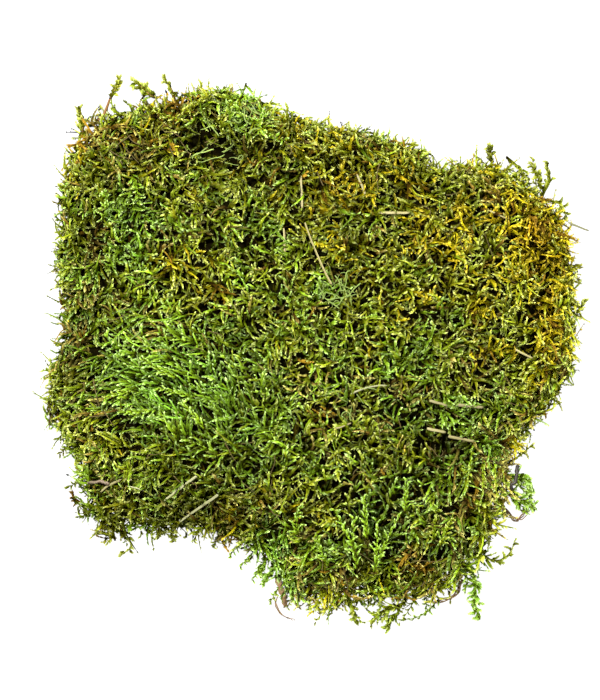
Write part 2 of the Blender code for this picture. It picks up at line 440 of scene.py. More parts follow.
def add_piece(name: str, points: Array, faces: Array, material: bpy.types.Material, slot: str,
              numbers: dict[str, Array], smooth: bool = False,
              stands_for: tuple[str, ...] = ()) -> bpy.types.Object:
    """Puts a mesh of triangles into the scene as one piece of the object.

    Args:
        name: the piece's name.
        points: its vertices in metres, one a row.
        faces: three vertex numbers a row, turning left seen from outside.
        material: what it is made of.
        slot: the record's material slot; not used.
        numbers: attributes for the material, one number for each vertex.
        smooth: whether it shades as a rounded surface.
        stands_for: the frame's nodes that it replaces.

    Returns:
        The object, at the origin.
    """
    mesh = bpy.data.meshes.new(name)
    mesh.vertices.add(len(points))
    mesh.vertices.foreach_set("co", points.astype(np.float32).ravel())
    mesh.loops.add(faces.size)
    mesh.loops.foreach_set("vertex_index", faces.astype(np.int32).ravel())
    mesh.polygons.add(len(faces))
    mesh.polygons.foreach_set("loop_start", np.arange(0, faces.size, 3, dtype=np.int32))
    mesh.polygons.foreach_set("use_smooth", np.full(len(faces), smooth))
    for title, values in numbers.items():
        stored = mesh.attributes.new(title, "FLOAT", "POINT")
        stored.data.foreach_set("value", values.astype(np.float32).ravel())
    mesh.update(calc_edges=True)
    mesh.materials.append(material)
    piece = bpy.data.objects.new(name, mesh)
    bpy.context.scene.collection.objects.link(piece)
    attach(piece, BODY)
    if stands_for:
        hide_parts(*stands_for)
    log.info("%s: %d triangles", name, len(faces))
    return piece


def keep_above_table(points: Array, gap: float = CLEARANCE) -> None:
    """Raises, in place, every point that lies lower than the gap over the table."""
    points[:, 2] = np.maximum(points[:, 2], gap)


def node_triangles(node: str) -> tuple[Array, Array]:
    """Reads the mesh of one of the frame's nodes.

    Args:
        node: the node's name.

    Returns:
        Its vertices, one a row, and its triangles, three vertex numbers a row.
    """
    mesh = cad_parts[node].data
    mesh.calc_loop_triangles()
    points = np.empty(len(mesh.vertices) * 3, np.float32)
    mesh.vertices.foreach_get("co", points)
    triangles = np.empty(len(mesh.loop_triangles) * 3, np.int32)
    mesh.loop_triangles.foreach_get("vertices", triangles)
    return points.reshape(-1, 3), triangles.reshape(-1, 3)


# ---------------------------------------------------------------- the pad's own shape


class PadForm:
    """The outer shape of the pad, read from its solid: spots all over it, its height and its reach."""

    def __init__(self, node: str = PAD, pitch: float = 2.0 * MM, samples: int = 400_000) -> None:
        """Measures the solid.

        Args:
            node: the frame's node.
            pitch: width of a cell of the height map.
            samples: how many spots the height map and the rim are read from.
        """
        points, triangles = node_triangles(node)
        self.corners = points[triangles].astype(float)
        self.low, self.high = self.corners.min((0, 1)), self.corners.max((0, 1))
        cross = np.cross(self.corners[:, 1] - self.corners[:, 0], self.corners[:, 2] - self.corners[:, 0])
        self.areas = np.linalg.norm(cross, axis=1) / 2
        self.normals = unit(cross)
        spots, _ = self.spots(samples, np.random.default_rng(1), (0.0, 1.1))
        self.pitch = pitch
        self.size = np.ceil((self.high - self.low)[:2] / pitch).astype(int) + 1
        cell = np.rint((spots[:, :2] - self.low[:2]) / pitch).astype(int)
        self.heights = np.zeros(self.size)
        np.maximum.at(self.heights, tuple(cell.T), spots[:, 2])
        turn = self.turn_cell(spots)
        self.reaches = np.zeros(TURNS)
        np.maximum.at(self.reaches, turn, np.hypot(spots[:, 0], spots[:, 1]))

    @staticmethod
    def turn_cell(spots: Array) -> Array:
        """Which of TURNS equal sectors round the middle each spot lies in."""
        share = np.arctan2(spots[:, 1], spots[:, 0]) / (2 * np.pi) % 1.0
        return (share * TURNS).astype(int) % TURNS

    def spots(self, count: int, rng: np.random.Generator, facing: tuple[float, float]) -> tuple[Array, Array]:
        """Random spots, equally likely everywhere on the faces that face so far up.

        Each spot is a + sqrt(u) ((1 - v) (b - a) + v (c - a)) on the triangle a, b, c.

        Args:
            count: how many.
            rng: the source of chance.
            facing: lowest and highest Z of the face's normal.

        Returns:
            The spots and the outward normals there.
        """
        kept = (self.normals[:, 2] >= facing[0]) & (self.normals[:, 2] < facing[1])
        chance = self.areas * kept
        pick = rng.choice(len(chance), size=count, p=chance / chance.sum())
        u, v = np.sqrt(rng.random((count, 1))), rng.random((count, 1))
        a, b, c = self.corners[pick].transpose(1, 0, 2)
        return a + u * ((1 - v) * (b - a) + v * (c - a)), self.normals[pick]

    def even_spots(self, spacing: float, rng: np.random.Generator,
                   facing: tuple[float, float]) -> tuple[Array, Array]:
        """Spots with about one to each cube of a lattice with that spacing, which keeps them even.

        Args:
            spacing: the side of a cube.
            rng: the source of chance.
            facing: lowest and highest Z of the face's normal.

        Returns:
            The spots and the outward normals there.
        """
        count = int(8 * self.areas.sum() / spacing**2)
        spots, normals = self.spots(count, rng, facing)
        _, first = np.unique(np.floor(spots / spacing).astype(int), axis=0, return_index=True)
        first = rng.permutation(first)
        return spots[first], normals[first]

    def height(self, spots: Array) -> Array:
        """Height of the top under each spot, read between the four nearest cells.

        Args:
            spots: points, one a row, of which X and Y are read.

        Returns:
            One height for each spot, in metres.
        """
        place = (spots[:, :2] - self.low[:2]) / self.pitch
        cell = np.clip(np.floor(place).astype(int), 0, self.size - 2)
        share = np.clip(place - cell, 0.0, 1.0)
        i, j = cell.T
        near = blend(self.heights[i, j], self.heights[i + 1, j], share[:, 0])
        far = blend(self.heights[i, j + 1], self.heights[i + 1, j + 1], share[:, 0])
        return blend(near, far, share[:, 1])

    def reach(self, azimuth: Array) -> Array:
        """Distance from the middle to the rim in each direction."""
        middle = (np.arange(TURNS) + 0.5) * 2 * np.pi / TURNS
        return np.interp(azimuth % (2 * np.pi), middle, self.reaches, period=2 * np.pi)

    def rim_share(self, spots: Array) -> Array:
        """How far out each spot lies: 0 in the middle, 1 at the rim."""
        azimuth = np.arctan2(spots[:, 1], spots[:, 0])
        return np.hypot(spots[:, 0], spots[:, 1]) / self.reach(azimuth)


# ---------------------------------------------------------------- patches of growth


@dataclass(frozen=True)
class Patch:
    """A patch of the pad that grows differently, and how it departs from the rest.

    The place, the radius, sunk and spread are in millimetres. Age, light, faded and stretch add to what
    Growth gives elsewhere; light paints shade in the sunk pockets and light on the shaded right rim, and
    raises or lowers brightness region by region elsewhere. Comb is the azimuth in degrees that the shoots
    are combed to. Sunk lowers the growth, bare is the share of shoots that is left out, and spread moves the
    rim's growth outwards.
    """

    x: float
    y: float
    radius: float
    age: float = 0.0
    light: float = 0.0
    faded: float = 0.0
    comb: float | None = None
    stretch: float = 0.0
    sunk: float = 0.0
    bare: float = 0.0
    spread: float = 0.0

    def weight(self, spots: Array) -> Array:
        """exp(-(d / radius)^2) of the distance d from its middle."""
        offset = spots[:, :2] - np.array([self.x, self.y]) * MM
        return np.exp(-np.sum(offset**2, 1) / (self.radius * MM) ** 2)


# light in these patches is painted light and shade in part: negative in the small sunk pockets, positive on
# the right rim; the rest raise or lower brightness region by region.
PATCHES = (
    Patch(-84, -12, 30, age=-0.48, light=0.22, comb=164, stretch=0.50, faded=-0.12),
    Patch(-52, -22, 24, age=-0.36, light=-0.08, comb=120, stretch=0.40, faded=-0.10),
    Patch(-84, 9, 9, faded=0.55, light=0.25, comb=170, stretch=0.3),
    Patch(-110, -24, 14, faded=0.25, light=0.18, comb=200, stretch=0.2),
    Patch(108, 36, 34, age=0.14, light=0.22, faded=0.02),
    Patch(96, 74, 24, age=0.24, light=0.05),
    Patch(104, 52, 12, age=0.35, faded=0.15),
    Patch(40, 60, 30, age=0.22, light=-0.06),
    Patch(-50, 34, 26, age=0.02, light=0.08),
    Patch(-96, 104, 24, age=0.18, light=-0.14, faded=0.30, stretch=0.25, spread=3.0),
    Patch(-36, 121, 14, age=-0.50, light=0.42, stretch=0.4, faded=0.10),
    # Painted shade: small sunk, bare pockets darkened.
    Patch(-57, 102, 9, light=-0.62, sunk=5.0, bare=0.36),
    Patch(-42, 97, 9, light=-0.62, sunk=5.5, bare=0.36),
    Patch(-72, 98, 9, age=0.15, light=0.15),
    Patch(-72, 122, 12, age=0.20, faded=0.20, light=-0.05),
    Patch(110, 52, 5, light=-0.35, sunk=4.0, bare=0.70),
    Patch(109, 20, 5, light=-0.35, sunk=4.0, bare=0.70),
    Patch(56, -50, 6, light=-0.20, sunk=4.0, bare=0.60),
    Patch(-36, -57, 7, light=-0.20, sunk=3.0, bare=0.50),
    Patch(34, -106, 7, light=-0.25, sunk=3.0, bare=0.55),
    Patch(-62, -74, 32, age=-0.14, light=-0.38),
    Patch(-42, -82, 12, age=0.2, faded=0.25, light=-0.25),
    Patch(62, -53, 17, light=-0.40, faded=0.12, sunk=3.0),
    Patch(16, -114, 12, age=0.20, light=-0.15, faded=0.24, sunk=2.0),
    Patch(56, -108, 10, age=0.20, light=-0.15, faded=0.26, sunk=2.0),
    Patch(26, -85, 14, age=-0.40, light=-0.34, comb=84, bare=0.25, sunk=1.5),
    Patch(68, -102, 13, age=-0.45, light=0.02, comb=250),
    Patch(92, -66, 20, faded=0.35, age=-0.2, light=0.22, comb=292, stretch=0.4),
    Patch(-18, -106, 13, age=-0.45, light=0.20, comb=235, stretch=0.4),
    Patch(-4, -122, 12, age=0.06, faded=0.28, light=0.08),
    Patch(-122, 2, 15, faded=0.42, age=-0.05),
    Patch(-114, 22, 10, faded=0.30, light=0.12),
    Patch(8, 33, 8, age=-0.6, faded=0.35, light=0.15),
    Patch(10, -24, 15, faded=0.18, age=-0.2),
    Patch(-120, -68, 18, light=-0.18, age=-0.1, faded=0.15),
    Patch(-94, 72, 14, age=-0.22, light=-0.04),
    Patch(-92, 50, 12, age=-0.20, light=0.04),
    Patch(-114, 36, 8, age=-0.20, light=0.0),
    Patch(-128, 60, 26, age=0.05, light=-0.26),
    Patch(-130, -4, 30, age=0.05, light=-0.30),
    Patch(-20, 92, 30, light=-0.13),
    Patch(30, 68, 26, light=-0.12),
    Patch(-43, 68, 14, light=-0.10),
    Patch(66, 4, 14, light=-0.12),
    Patch(64, -44, 34, age=-0.26, light=-0.05),
    Patch(-14, -48, 26, age=-0.20),
    Patch(44, -16, 20, age=-0.14),
    Patch(36, -2, 10, age=-0.10, light=0.14),
    Patch(88, 68, 8, age=0.3, faded=0.45, light=0.05),
    Patch(112, -45, 12, faded=0.35, age=0.2),
    Patch(20, -126, 16, stretch=0.55),
    Patch(56, -128, 16, stretch=0.65),
    Patch(88, -104, 18, stretch=0.50),
    Patch(-24, -104, 14, stretch=0.40),
    Patch(-96, -92, 20, stretch=0.35),
    Patch(100, 100, 24, stretch=0.35),
    Patch(-60, 128, 20, stretch=0.30),
    # Painted light: the right rim brightened where the key light from the upper left leaves it in shade.
    Patch(130, 30, 16, age=0.10, light=0.30),
    Patch(124, -8, 20, age=0.06, light=0.28),
    Patch(122, 64, 14, age=0.20, light=0.15),
    Patch(108, -52, 14, age=0.25, light=0.20),
    Patch(98, -12, 20, age=0.12, light=0.22),
    Patch(130, 6, 12, age=-0.06, light=0.20),
    Patch(26, 18, 22, age=0.08, light=0.14),
    Patch(-14, -76, 14, light=0.12),
    Patch(-43, 38, 14, light=0.10),
    Patch(-100, -52, 14, age=0.20, light=0.20),
    Patch(-43, 9, 16, age=0.02, light=-0.18),
    Patch(128, 38, 16, age=0.05, light=0.12),
    Patch(112, 68, 16, light=0.10),
    Patch(-14, 38, 16, age=-0.08, light=0.06),
    Patch(-128, 9, 14, age=0.10),
    Patch(-100, -48, 14, light=0.10),
    Patch(-100, -19, 14, light=-0.16),
    Patch(-98, 98, 16, light=-0.14),
    Patch(-128, 66, 12, light=-0.06),
    Patch(-126, 36, 12, light=-0.10),
    Patch(-16, 98, 14, light=-0.12),
    Patch(71, -44, 12, light=-0.06),
    Patch(-72, -77, 14, light=-0.08),
    Patch(71, 38, 14, light=0.12),
    Patch(100, 30, 14, light=0.10),
    Patch(14, 10, 12, light=0.10),
    Patch(42, -50, 16, light=0.08),
    Patch(42, -78, 14, light=0.08),
    Patch(14, -19, 14, light=0.08),
    Patch(71, -106, 14, light=-0.08),
    Patch(-14, 60, 18, light=-0.05),
    Patch(46, 40, 14, light=0.14),
    Patch(78, 10, 20, light=-0.04),
    Patch(-14, -18, 18, light=-0.10),
    Patch(-126, 34, 12, light=-0.14),
    Patch(14, -78, 10, light=-0.06),
    Patch(100, -78, 14, light=-0.06, spread=4.0, stretch=0.3),
    Patch(106, -96, 18, spread=5.0),
    Patch(84, -116, 18, spread=5.0),
    Patch(54, -132, 16, spread=4.0),
    Patch(10, -132, 18, spread=5.0),
    Patch(-106, -92, 18, light=-0.28, spread=4.5),
    Patch(-126, -84, 14, spread=3.0),
    Patch(-118, 106, 18, spread=3.5),
    Patch(-106, 120, 14, spread=2.0),
)


@dataclass(frozen=True)
class Growth:
    """How the shoots grow at any spot: their age, brightness, fading, lie, length and depth."""

    patches: tuple[Patch, ...] = PATCHES
    age_middle: float = 0.42
    age_drift: float = 0.75
    light_middle: float = 0.85
    whorl: float = 17.0 * MM
    faded_middle: float = 0.03

    def summed(self, spots: Array, trait: str) -> Array:
        """The patches' departures of one kind, each by its weight, added up."""
        return sum(getattr(patch, trait) * patch.weight(spots) for patch in self.patches)

    def age(self, spots: Array) -> Array:
        """Age from 0, fresh, to 1, dying: drifts of 9 and 30 mm round the middle value, and the patches."""
        drift = 0.6 * Drift(9 * MM, 11)(spots) + 0.4 * Drift(30 * MM, 12)(spots) - 0.5
        return self.age_middle + self.age_drift * drift + self.summed(spots, "age")

    def light(self, spots: Array) -> Array:
        """Brightness: a drift of 7 mm round the middle value, painted shade in the dips, and the patches."""
        # Painted shade: shoots in the dips between mounds are darkened.
        drift = 0.30 * (Drift(7 * MM, 13)(spots) - 0.5) - 0.25 * self.dip(spots)
        return self.light_middle + drift + self.summed(spots, "light")

    def faded(self, spots: Array) -> Array:
        """Share of bleached and dead shoots."""
        drift = 0.14 * smooth_step((Drift(11 * MM, 14)(spots) - 0.55) * 3)
        return np.clip(self.faded_middle + drift + self.summed(spots, "faded"), 0.0, 0.95)

    def lie(self, spots: Array) -> Array:
        """Level direction in which shoots lie: it swirls with a drift, and the combed patches turn it.

        Args:
            spots: points, one a row.

        Returns:
            A unit vector for each spot.
        """
        azimuth = 4.5 * np.pi * Drift(self.whorl, 15)(spots)
        lie = compass(azimuth)
        for patch in self.patches:
            if patch.comb is not None:
                combed = compass(np.full(len(spots), np.radians(patch.comb)))
                lie = blend(lie, combed, 0.92 * patch.weight(spots)[:, None] ** 0.6)
        return unit(lie + 1e-6)

    def combed(self, spots: Array) -> Array:
        """How strongly the shoots are combed one way, from 0 to 1."""
        weights = sum(patch.weight(spots) for patch in self.patches if patch.comb is not None)
        return np.clip(weights, 0.0, 1.0) ** 0.6

    def dip(self, spots: Array) -> Array:
        """How deep in one of the small gaps between mounds each spot lies, from 0 to 1."""
        return smooth_step((Drift(6 * MM, 18)(spots) - 0.64) * 4)

    def mound(self, spots: Array) -> Array:
        """Height of the small mounds that the shoots form, with dips between them, in metres."""
        swell = 0.6 * Drift(9 * MM, 16)(spots) + 0.4 * Drift(4.5 * MM, 17)(spots)
        return 5.0 * MM * (swell - 0.60) - 5.0 * MM * self.dip(spots)

    def stretch(self, spots: Array) -> Array:
        """How much longer than usual the shoots are."""
        return 1.0 + self.summed(spots, "stretch")

    def sunk(self, spots: Array) -> Array:
        """How far the growth is sunk below the pad's outline, in metres."""
        return self.summed(spots, "sunk") * MM

    def spread(self, spots: Array) -> Array:
        """How far the rim's growth stands further out than usual, in metres."""
        return self.summed(spots, "spread") * MM

    def kept(self, spots: Array, rng: np.random.Generator) -> Array:
        """A mask that leaves out shoots by chance where the growth is bare."""
        return rng.random(len(spots)) >= self.summed(spots, "bare")


# ---------------------------------------------------------------- shoots


@dataclass
class Shoots:
    """Many leafy shoots, one row of each array for each: where they start and how they grow."""

    foot: Array
    heading: Array
    over: Array
    bend: Array
    hook: Array
    length: Array
    width: Array
    age: Array
    light: Array
    faded: Array

    def __len__(self) -> int:
        """How many shoots there are."""
        return len(self.foot)

    def some(self, which: Array) -> "Shoots":
        """The shoots that a mask or a list of numbers picks."""
        return Shoots(**{item.name: getattr(self, item.name)[which] for item in fields(self)})

    @staticmethod
    def joined(groups: list["Shoots"]) -> "Shoots":
        """All the groups as one."""
        return Shoots(**{item.name: np.concatenate([getattr(group, item.name) for group in groups])
                         for item in fields(Shoots)})

    def line(self, share: Array) -> Array:
        """The middle line: foot + length (s heading + s^2 bend + s^3 hook) at each share s of the way.

        Args:
            share: shares of the way, the same for every shoot.

        Returns:
            Points, by shoot and share.
        """
        s = share[None, :, None]
        rise = s * self.heading[:, None] + s**2 * self.bend[:, None] + s**3 * self.hook[:, None]
        return self.foot[:, None] + self.length[:, None, None] * rise


Lines = Callable[[Array], Array]
Surface = tuple[Array, Array, dict[str, Array]]


def line_frames(middle: Array, over: Array) -> tuple[Array, Array, Array]:
    """Unit vectors that run along lines of points, beside them and over them.

    Args:
        middle: points, by line and station.
        over: the upward side of each line.

    Returns:
        The three, each of the shape of middle.
    """
    ahead = unit(np.gradient(middle, axis=1))
    side = unit(np.cross(ahead, over[:, None]))
    return ahead, side, np.cross(side, ahead)


def joined(surfaces: list[Surface]) -> Surface:
    """Several surfaces as one, with the attributes that the first has.

    Args:
        surfaces: points, triangles and attributes each.

    Returns:
        The joined surface.
    """
    starts = np.cumsum([0] + [len(points) for points, _, _ in surfaces])
    faces = [faces + start for (_, faces, _), start in zip(surfaces, starts)]
    numbers = {name: np.concatenate([values[name] for _, _, values in surfaces]) for name in surfaces[0][2]}
    return np.concatenate([points for points, _, _ in surfaces]), np.concatenate(faces), numbers


@dataclass(frozen=True)
class LeafyForm:
    """A leafy shoot: a slim core, and keeled leaves of four triangles set round it in a spiral."""

    rings: int = 4
    sides: int = 3
    leaves: int = 10
    core: float = 0.46
    blade: float = 0.76
    breadth: float = 0.58
    opening: float = 32.0
    spiral: float = 2.4
    flatness: float = 0.75

    def clad(self, line: Lines, over: Array, width: Array, age: Array, light: Array,
             rng: np.random.Generator) -> Surface:
        """The closed surfaces of leafy shoots round given middle lines.

        Args:
            line: gives the middle lines' points, by shoot and station, for shares of the way.
            over: the side of each shoot that faces up.
            width: full width over the leaves.
            age: age of each shoot.
            light: brightness of each shoot.
            rng: the source of chance.

        Returns:
            Points, triangles, and the attributes along, crest, age and light.
        """
        total = len(width)
        core, core_along = self.core_points(line, over, width)
        blades, blade_along = self.blade_points(line, over, width, rng)
        points = np.concatenate([core, blades], 1)
        count = points.shape[1]
        along = np.concatenate([core_along, blade_along])
        # crest: how far out on the leaf each point lies; the finish paints shade where it is low and a
        # highlight where it is high
        crest = np.concatenate([np.full(len(core_along), 0.28), np.tile([0.1, 1.0, 0.6, 0.6], self.leaves)])
        faces = self.pattern()[None] + (np.arange(total) * count)[:, None, None]
        numbers = {
            "along": np.tile(along, total),
            "crest": np.tile(crest, total),
            "age": np.repeat(age, count),
            "light": np.repeat(light, count),
        }
        return points.reshape(-1, 3), faces.reshape(-1, 3), numbers

    def core_points(self, line: Lines, over: Array, width: Array) -> tuple[Array, Array]:
        """The core: rings p(s) + r(s) (cos a side + sin a over), r falling to a third, and an end point.

        Ring t of n lies at the share s = 1 - (1 - t / n)^1.6, so that the rings crowd towards the tip.

        Args:
            line: gives the middle lines' points.
            over: the side of each shoot that faces up.
            width: full width over the leaves.

        Returns:
            Points by shoot, and each point's share of the way.
        """
        share = 1.0 - (1.0 - np.arange(self.rings + 1) / self.rings) ** 1.6
        middle = line(share)
        _, side, raised = line_frames(middle, over)
        angle = np.arange(self.sides) * 2 * np.pi / self.sides
        radius = (width[:, None] / 2 * self.core * (1.0 - 0.67 * share))[:, :-1, None, None]
        ring = np.cos(angle)[:, None] * side[:, :-1, None] + np.sin(angle)[:, None] * raised[:, :-1, None]
        rings = (middle[:, :-1, None] + radius * ring).reshape(len(width), -1, 3)
        return np.concatenate([rings, middle[:, -1:]], 1), np.append(np.repeat(share[:-1], self.sides), 1.0)

    def blade_points(self, line: Lines, over: Array, width: Array,
                     rng: np.random.Generator) -> tuple[Array, Array]:
        """The leaves: each a keel from its base on the middle line to its tip, and two edges behind it.

        Args:
            line: gives the middle lines' points.
            over: the side of each shoot that faces up.
            width: full width over the leaves.
            rng: the source of chance.

        Returns:
            Points by shoot, in the order base, tip, left, right, and each point's share of the way.
        """
        total = len(width)
        share = 1.0 - (1.0 - (np.arange(self.leaves) + 0.35) / (self.leaves + 0.1)) ** 1.25
        middle = line(share)
        ahead, side, raised = line_frames(middle, over)
        angle = rng.random((total, 1)) * 2 * np.pi + np.arange(self.leaves) * self.spiral
        out = np.cos(angle)[..., None] * side + self.flatness * np.sin(angle)[..., None] * raised
        sweep = rng.normal(0.0, 0.35, (total, 1, 1)) * side
        opening = np.radians(self.opening) * (1.0 - 0.45 * share) * rng.normal(1.0, 0.2, (total, self.leaves))
        way = unit(np.cos(opening)[..., None] * ahead + np.sin(opening)[..., None] * out + sweep)
        outer = across(out, way)
        edge = np.cross(way, outer)
        size = width[:, None] * self.blade * (1.0 - 0.3 * share**2)
        size = (size * rng.lognormal(0.0, 0.15, (total, self.leaves)))[..., None]
        half = 0.5 * self.breadth * size
        waist = middle + 0.42 * size * way - 0.35 * half * outer
        tip = middle + size * way - 0.12 * size * outer
        corners = [middle, tip, waist + half * edge, waist - half * edge]
        points = np.stack(corners, 2).reshape(total, -1, 3)
        return points, np.clip(np.repeat(share, 4) + np.tile([0.0, 0.12, 0.06, 0.06], self.leaves), 0.0, 1.0)

    def pattern(self) -> Array:
        """Triangles of one shoot: two a side between rings, fans at tip and foot, and four a leaf.

        Returns:
            Three vertex numbers a row, facing outwards.
        """
        n = self.sides
        ring, i = np.meshgrid(np.arange(self.rings - 1), np.arange(n), indexing="ij")
        a, b = ring * n + i, ring * n + (i + 1) % n
        lower = np.stack([b, a, a + n], -1).reshape(-1, 3)
        upper = np.stack([b + n, b, a + n], -1).reshape(-1, 3)
        last, i = (self.rings - 1) * n, np.arange(n)
        tip = np.stack([last + (i + 1) % n, last + i, np.full(n, self.rings * n)], -1)
        j = np.arange(1, n - 1)
        foot = np.stack([np.zeros_like(j), j, j + 1], -1)
        first = self.rings * n + 1 + 4 * np.arange(self.leaves)[:, None, None]
        leaf = first + np.array([[0, 2, 1], [0, 1, 3], [0, 3, 2], [1, 2, 3]])
        return np.concatenate([lower, upper, tip, foot, leaf.reshape(-1, 3)])


@dataclass
class Grower:
    """Grows shoots and feathered fronds at given spots, with the traits that the growth has there."""

    growth: Growth
    length: float = 8.1 * MM
    width: float = 3.0 * MM
    branches: int = 6
    allowance: float = 1.3

    def shoots(self, anchor: Array, normals: Array, heading: Array, length: Array, width: Array,
               rng: np.random.Generator, curl: float = 1.0, held_at: float = 0.7) -> Shoots:
        """Shoots whose line passes the anchors at a given share of the way, bent at random.

        Args:
            anchor: the points they pass.
            normals: the pad's outward directions there.
            heading: the directions in which they start.
            length: their lengths.
            width: their widths over the leaves.
            rng: the source of chance.
            curl: how strongly they bend.
            held_at: share of the way at which the line passes the anchor; 0 roots it there.

        Returns:
            The shoots.
        """
        count = len(anchor)
        curl = curl * (1.0 - 0.6 * self.growth.combed(anchor))[:, None]
        side = np.cross(heading, normals)
        droop = rng.normal(0.05, 0.28, (count, 1))
        sway = rng.normal(0.0, 0.50, (count, 1))
        bend = curl * (side * sway - normals * droop)
        hook = curl * (side * rng.normal(0.0, 0.65, (count, 1)) - normals * rng.normal(0.12, 0.2, (count, 1)))
        shorter = 1.0 + 0.6 * np.linalg.norm(hook, axis=1) + 0.4 * np.linalg.norm(bend, axis=1)
        length = self.allowance * (length / shorter)
        reach = held_at * heading + held_at**2 * bend + held_at**3 * hook
        return Shoots(
            foot=anchor - length[:, None] * reach, heading=heading, over=normals, bend=bend, hook=hook,
            length=length, width=width,
            age=self.growth.age(anchor) + rng.normal(0.0, 0.13, count),
            light=np.clip(self.growth.light(anchor) * rng.lognormal(0.0, 0.36, count), 0.10, 1.9),
            faded=self.growth.faded(anchor),
        )

    def side_shoots(self, joint: Array, ahead: Array, normals: Array, length: Array, opening: Array,
                    rng: np.random.Generator) -> Shoots:
        """Side shoots set left and right in turn along stems, all in the plane that faces the normal.

        Args:
            joint: where they spring, by stem and branch.
            ahead: the stem's way there.
            normals: each stem's upward side.
            length: length of each side shoot.
            opening: the angle of each from the stem, in radians.
            rng: the source of chance.

        Returns:
            The side shoots.
        """
        count, branches = joint.shape[:2]
        out = np.cross(ahead, normals[:, None])
        way = np.where(np.arange(branches) % 2, 1.0, -1.0)[None, :, None]
        angle = (opening * rng.normal(1.0, 0.2, (count, branches)))[..., None]
        lift = rng.normal(0.12, 0.22, (count, branches, 1))
        fork = unit(np.cos(angle) * ahead + way * np.sin(angle) * out + lift * normals[:, None])
        width = self.width * rng.lognormal(-0.15, 0.12, count * branches)
        return self.shoots(joint.reshape(-1, 3), np.repeat(normals, branches, 0), fork.reshape(-1, 3),
                           length.ravel(), width, rng, curl=0.8, held_at=0.0)

    def fronds(self, spots: Array, normals: Array, heading: Array, length: Array, rng: np.random.Generator,
               opening: float = 50.0, reach: float = 1.0, curl: float = 0.6) -> Shoots:
        """Feathered fronds: a leafy stem with side shoots, shorter towards its end.

        Args:
            spots: what each stem passes at seven tenths of its way.
            normals: the upward side of each frond.
            heading: which way each starts.
            length: length of each stem.
            rng: the source of chance.
            opening: angle of the side shoots from the stem, in degrees.
            reach: how long the side shoots are, against the usual.
            curl: how strongly the stems bend.

        Returns:
            Stems and side shoots.
        """
        count = len(spots)
        stem = self.shoots(spots, normals, heading, length, np.full(count, 0.85 * self.width), rng, curl)
        share = (np.arange(self.branches) + 0.6) / self.branches
        ahead = unit(stem.line(share + 0.03) - stem.line(share - 0.03))
        opening = np.radians(opening) * (1.0 - 0.5 * self.growth.combed(spots))[:, None]
        branch = reach * self.length * (1.10 - 0.60 * share)
        branch = branch * rng.lognormal(0.0, 0.15, (count, self.branches))
        sides = self.side_shoots(stem.line(share), ahead, normals, branch, opening, rng)
        sides.age = np.repeat(stem.age, self.branches) + rng.normal(0.0, 0.06, len(sides))
        sides.light = np.repeat(stem.light, self.branches) * rng.lognormal(0.05, 0.10, len(sides))
        sides.light = np.clip(sides.light, 0.12, 1.5)
        sides.faded = np.repeat((rng.random(count) < stem.faded).astype(float), self.branches)
        stem.faded = sides.faded[:: self.branches]
        return Shoots.joined([stem, sides])


@dataclass(frozen=True)
class Feather:
    """One frond that stands out on the pad.

    Its place, its length and its lift over the pad are in millimetres, its azimuth in degrees. Reach is how
    long its side shoots are, against the usual.
    """

    x: float
    y: float
    azimuth: float
    length: float = 15.0
    age: float = 0.15
    light: float = 1.25
    lift: float = 0.5
    reach: float = 0.50


